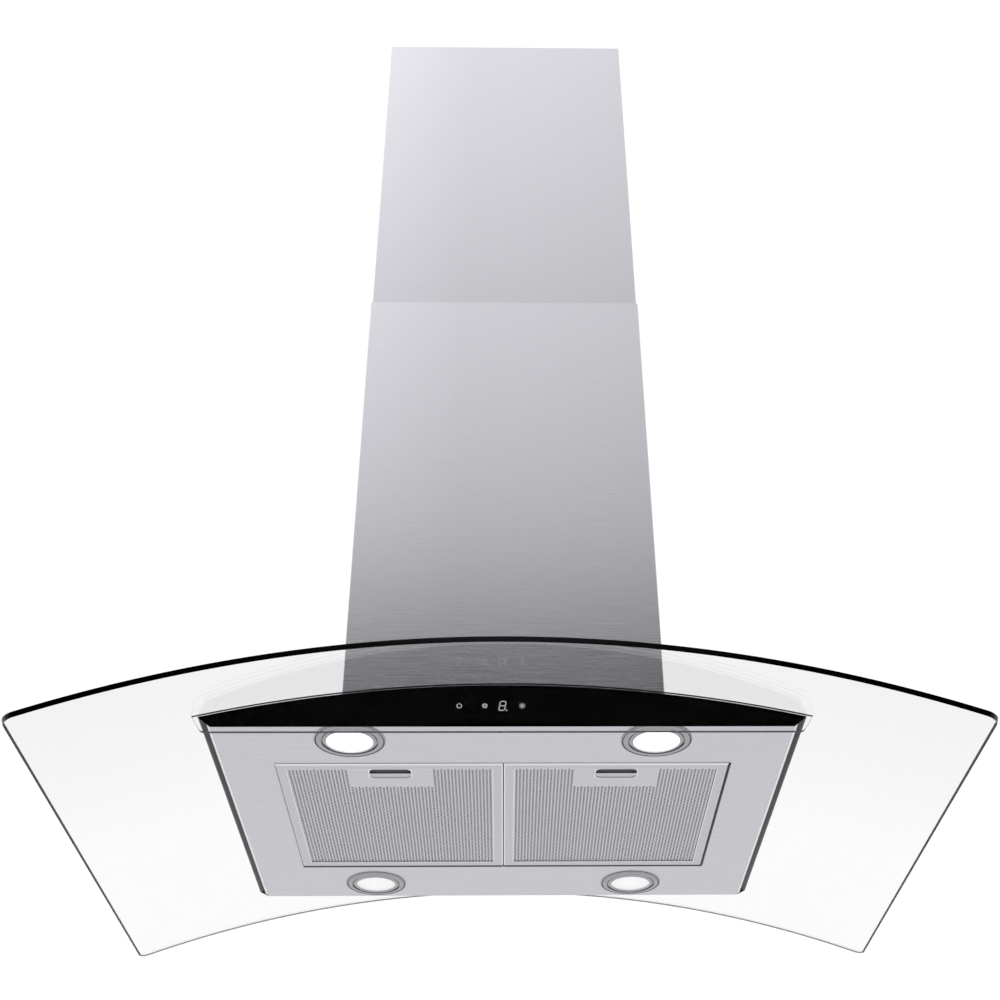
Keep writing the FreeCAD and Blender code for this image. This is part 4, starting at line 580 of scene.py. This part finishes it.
def side_lips():
    """Folded lip between the pan and each dark side wall of the body, painted as a faintly glowing
    highlight.
    """
    shell_low, shell_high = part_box("body_shell")
    pan_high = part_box("bottom_pan")[1]
    front, rear = shell_low.y + 2 * MM, shell_high.y - 6 * MM
    section = ((-0.5, -0.12), (2.1, 0.75), (2.1, 1.2), (0.8, 0.6), (-0.5, 0.02))
    for name, hand in (("side_lip_left", -1), ("side_lip_right", 1)):
        outline = [(hand * (pan_high.x + out * MM), PAN_LOW.z + up * MM) for out, up in section]
        piece = upright_prism(
            name, outline, front, rear, "pan_steel", "hood", smooth=False, paint="painted_highlight"
        )
        bevel(piece, 0.12 * MM, 2, 30.0)


def band(x, z, inner, outer, start, end, steps=20):
    """Quads of a ring or part of one, angles in degrees."""
    turns = [math.radians(start + (end - start) * n / steps) for n in range(steps + 1)]
    quads = []
    for a, b in zip(turns, turns[1:]):
        spots = ((inner, a), (outer, a), (outer, b), (inner, b))
        quads.append([(x + reach * math.cos(turn), z + reach * math.sin(turn)) for reach, turn in spots])
    return quads


def bar(x0, z0, x1, z1, wide, lean=0.0):
    """Stroke with pointed ends between two points. lean slants it sideways by its height."""
    run = Vector((x1 - x0, z1 - z0))
    along = run.normalized() * wide / 2
    side = Vector((-run.y, run.x)).normalized() * wide / 2
    a, b = Vector((x0, z0)), Vector((x1, z1))
    spots = [a, a + along + side, b - along + side, b, b - along - side, a + along - side]
    return [[(spot.x + lean * spot.y, spot.y) for spot in spots]]


def power_sign():
    return band(0, 0, 1.95, 2.6, 125, 415) + bar(0, 1.4, 0, 3.3, 0.7)


def fan_sign():
    blades = []
    for n in range(5):
        turn = math.radians(72 * n + 18)
        blades += band(1.8 * math.cos(turn), 1.8 * math.sin(turn), 0.35, 0.95, 0, 360, 10)
    return blades


def lamp_sign():
    rays = band(0, 0, 0.0, 1.2, 0, 360, 12)
    for n in range(8):
        along, up = math.cos(math.radians(45 * n)), math.sin(math.radians(45 * n))
        rays += bar(1.7 * along, 1.7 * up, 3.2 * along, 3.2 * up, 0.6)
    return rays


def digit_sign():
    """All seven segments of a slanted digit, and its point."""
    half, rise, wide, lean = 2.8, 4.8, 0.8, 0.17
    strokes = []
    for z in (-rise, 0, rise):
        strokes += bar(-half + 0.25, z, half - 0.25, z, wide, lean)
    for x in (-half, half):
        for z in (-rise, 0):
            strokes += bar(x, z + 0.25, x, z + rise - 0.25, wide, lean)
    return strokes + band(half + 1.3, -rise, 0.0, 0.75, 0, 360, 8)


def signs():
    """Lit signs behind the plate: power, fan, digit and lamp, in millimetres about each middle."""
    level = PLATE_HIGH.y - 0.08 * MM     # inside the room behind the plate
    rows = (
        ("sign_power", -42.6, power_sign()), ("sign_fan", -18.0, fan_sign()),
        ("sign_digit", -1.0, digit_sign()), ("sign_lamp", 18.0, lamp_sign()),
    )
    for name, x, outlines in rows:
        vertices, faces = [], []
        for outline in outlines:
            faces.append(tuple(range(len(vertices), len(vertices) + len(outline))))
            vertices += [((x + u) * MM, level, PLATE_LOW.z + SIGN_LEVEL + v * MM) for u, v in outline]
        new_piece(name, vertices, faces, "lamp_diffuser", "hood", smooth=False, paint="sign_light")


# ---------------------------------------------------------------- lamps
LENS_RADIUS = 23.5 * MM
RING_STEPS = (                 # millimetres out from the lens's rim and up from the pan's face
    (-0.6, -2.2), (0.1, -2.2), (2.9, -1.1), (3.3, 0.4), (4.1, 0.4), (4.4, -1.7), (5.0, -2.1),
    (5.6, -1.5), (9.3, -1.0), (9.6, 0.0), (10.3, 0.0), (10.5, -1.2), (11.0, -1.3), (11.5, -0.7),
    (11.5, -0.2), (10.9, -0.1), (10.6, 0.6), (9.0, 0.8), (6.0, 0.8), (6.0, 20.0), (4.5, 20.0),
    (4.5, 2.7), (0.3, 2.7), (0.3, -0.6), (-0.6, -0.6),
)


def lamps():
    """Stepped, turned ring round each lens."""
    for corner in ("front_left", "front_right", "rear_left", "rear_right"):
        low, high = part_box(f"lamp_bezel_{corner}")
        centre = Vector(((low.x + high.x) / 2, (low.y + high.y) / 2, PAN_LOW.z))
        profile = [(LENS_RADIUS + out * MM, up * MM) for out, up in RING_STEPS]
        piece = lathe(f"lamp_ring_{corner}", profile, centre, "lamp_metal", "hood")
        bevel(piece, 0.12 * MM, 2, 35.0)
        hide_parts(f"lamp_bezel_{corner}")


# ---------------------------------------------------------------- trim of the filter frames
BAR_PROFILE = (                # millimetres in from the frame's outline and up from its foot
    (0.0, 1.3), (0.0, 0.6), (1.3, -0.25), (6.2, -0.25), (6.4, -0.1), (9.6, -0.1), (10.0, -0.25),
    (10.45, -0.25), (10.75, 0.0), (10.75, 1.15), (9.3, 1.15), (9.3, 0.15), (1.4, 0.15), (1.4, 1.3),
)
HIGHLIGHT_ROWS = (0, 1, 6, 7)     # of the profile painted as highlights: its outer slope and its inner bead


def frame_trim(side, gaps):
    """Mitred bars over a filter frame. gaps: millimetres inside its left, right, front and rear edge."""
    low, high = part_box(f"filter_face_{side}")
    frame_low, frame_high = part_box(f"filter_frame_{side}")
    out = low.x - frame_low.x
    left, right = frame_low.x + gaps[0] * MM, frame_high.x - gaps[1] * MM
    front, rear = low.y - out + gaps[2] * MM, high.y + out - gaps[3] * MM
    vertices, faces = [], []
    for inset, height in BAR_PROFILE:
        reach, level = inset * MM, frame_low.z + height * MM
        vertices += [
            (left + reach, front + reach, level), (right - reach, front + reach, level),
            (right - reach, rear - reach, level), (left + reach, rear - reach, level),
        ]
    for row in range(len(BAR_PROFILE)):
        after = (row + 1) % len(BAR_PROFILE)
        for turn in range(4):
            there = (turn + 1) % 4
            faces.append((4 * row + turn, 4 * row + there, 4 * after + there, 4 * after + turn))
    piece = new_piece(
        f"frame_trim_{side}", vertices, faces, "filter_aluminium", f"filter_{side}", smooth=False,
        paint="trim_aluminium",
    )
    piece.data.materials.append(MATERIALS["painted_highlight"])
    for face in piece.data.polygons:
        face.material_index = 1 if face.index // 4 in HIGHLIGHT_ROWS else 0
    bevel(piece, 0.1 * MM, 2, 20.0)


# ---------------------------------------------------------------- perforated face sheets
BEAD = ((0.0, 0.0), (0.1, 0.35), (0.9, 0.35), (1.5, 0.0))    # millimetres outwards and down
HOLE_X, HOLE_Y = 1.3 * MM, 1.35 * MM     # half sizes of a hole
ROW_PITCH = 3.9 * MM
SIDE_COLUMNS = 18                        # of holes on each side of the plain strip
MIDDLE_COLUMNS = 24                      # of holes behind it


def slot_rim(side, outline, level):
    """Raised bead round the finger slot, painted as a highlight."""
    middle = sum((Vector(spot) for spot in outline), Vector((0, 0))) / len(outline)
    vertices, faces = [], []
    for x, y in outline:
        outward = (Vector((x, y)) - middle).normalized() * MM
        for reach, drop in BEAD:
            vertices.append((x + outward.x * reach, y + outward.y * reach, level - drop * MM))
    for n in range(len(outline)):
        here, there = 4 * n, 4 * ((n + 1) % len(outline))
        for row in range(4):
            after = (row + 1) % 4
            faces.append((here + row, there + row, there + after, here + after))
    name, body = f"slot_rim_{side}", f"filter_{side}"
    new_piece(name, vertices, faces, "filter_aluminium", body, paint="painted_highlight")


def finger_dish(side):
    """Folded sheet in the latch's cup, seen through the rear of the finger slot."""
    low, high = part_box(f"filter_face_{side}")
    middle, half = (low.x + high.x) / 2, 21.5 * MM
    section = ((16.6, 0.35), (16.2, 0.1), (17.2, 0.1), (28.5, 0.1), (28.5, 0.4))
    vertices = [(middle + x, low.y + y * MM, high.z + z * MM) for x in (-half, half) for y, z in section]
    piece = new_piece(
        f"finger_dish_{side}", vertices, prism_faces(len(section)), SLOT_OF[f"latch_{side}"],
        f"latch_{side}", smooth=False, paint="trim_aluminium",
    )
    bevel(piece, 0.08 * MM, 2, 30.0)


def face_sheet(side):
    """Perforated sheet with a plain strip round the finger slot; each hole is cut through."""
    low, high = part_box(f"filter_face_{side}")
    middle = (low.x + high.x) / 2
    plain_half, plain_rear = 43.0 * MM, low.y + 44.7 * MM
    slot_x, slot_front = 21.0 * MM, low.y + 3.9 * MM
    slot_rear = slot_front + 22.0 * MM
    vertices, faces = [], []

    def add(points, loops):
        start = len(vertices)
        vertices.extend(points)
        faces.extend(tuple(start + n for n in loop) for loop in loops)

    def plain(x0, x1, y0, y1):
        add([(x0, y0, low.z), (x1, y0, low.z), (x1, y1, low.z), (x0, y1, low.z)], [(0, 1, 2, 3)])

    def cell(x0, x1, y0, y1):
        """Rectangle with an eight-sided hole, and the hole's wall."""
        cx, cy = (x0 + x1) / 2, (y0 + y1) / 2
        turns = [math.pi / 4 * n + math.pi / 8 for n in range(8)]
        ring = [(cx + HOLE_X * math.cos(turn), cy + HOLE_Y * math.sin(turn)) for turn in turns]
        edge = [(x1, y1), (x0, y1), (x0, y0), (x1, y0)]
        points = [(x, y, low.z) for x, y in ring] + [(x, y, low.z) for x, y in edge]
        points += [(x, y, high.z) for x, y in ring]
        loops = [(0, 8, 1), (1, 8, 9, 2), (2, 9, 3), (3, 9, 10, 4)]
        loops += [(4, 10, 5), (5, 10, 11, 6), (6, 11, 7), (7, 11, 8, 0)]
        loops += [(n, (n + 1) % 8, 12 + (n + 1) % 8, 12 + n) for n in range(8)]
        add(points, loops)

    def column(x0, x1, y0, y1, shifted):
        """Column of holes, half a row further on where it is shifted."""
        rows = round((y1 - y0) / ROW_PITCH)
        pitch = (y1 - y0) / rows
        if shifted:
            plain(x0, x1, y0, y0 + pitch / 2)
            plain(x0, x1, y1 - pitch / 2, y1)
            for n in range(rows - 1):
                cell(x0, x1, y0 + pitch * (n + 0.5), y0 + pitch * (n + 1.5))
        else:
            for n in range(rows):
                cell(x0, x1, y0 + pitch * n, y0 + pitch * (n + 1))

    def field(x0, x1, y0, y1, columns):
        width = (x1 - x0) / columns
        for n in range(columns):
            column(x0 + width * n, x0 + width * (n + 1), y0, y1, n % 2 == 1)

    field(low.x, middle - plain_half, low.y, high.y, SIDE_COLUMNS)
    field(middle - plain_half, middle + plain_half, plain_rear, high.y, MIDDLE_COLUMNS)
    field(middle + plain_half, high.x, low.y, high.y, SIDE_COLUMNS)
    corner = 6.0 * MM
    slot = []
    for cx, cy, turn in (
        (slot_x - corner, slot_rear - corner, 0), (corner - slot_x, slot_rear - corner, 1),
        (corner - slot_x, slot_front + corner, 2), (slot_x - corner, slot_front + corner, 3),
    ):
        for n in range(7):
            angle = math.pi / 2 * (turn + n / 6)
            slot.append((middle + cx + corner * math.cos(angle), cy + corner * math.sin(angle)))
    slot_rim(side, slot, low.z)
    outer = [
        (middle + plain_half, plain_rear), (middle - plain_half, plain_rear),
        (middle - plain_half, low.y), (middle + plain_half, low.y),
    ]
    points = [(x, y, low.z) for x, y in slot] + [(x, y, low.z) for x, y in outer]
    points += [(x, y, high.z) for x, y in slot]
    count = len(slot)
    loops = [(n, (n + 1) % count, count + 4 + (n + 1) % count, count + 4 + n) for n in range(count)]
    for turn in range(4):
        run = list(range(turn * 7, turn * 7 + 7))
        loops += [(run[n], run[n + 1], count + turn) for n in range(6)]
        following = (turn + 1) % 4
        loops.append((run[-1], following * 7, count + following, count + turn))
    add(points, loops)
    name, body = f"perforated_sheet_{side}", f"filter_{side}"
    piece = new_piece(name, vertices, faces, "filter_aluminium", body, smooth=False)
    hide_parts(f"filter_face_{side}")


# ---------------------------------------------------------------- build
bpy.context.scene.view_settings.view_transform = "Standard"
dress_nodes()
make_camera()
make_floor()
make_world()
canopy_glass()
front_plate()
side_lips()
signs()
lamps()
# Where the trims stop short, the frames' painted shadow shows as a dark gap.
TRIM_GAPS = {"left": (0.4, 0.2, -0.8, 5.0), "right": (0.2, 2.4, -0.8, 5.0)}
for side, gaps in TRIM_GAPS.items():
    frame_trim(side, gaps)
    face_sheet(side)
    finger_dish(side)
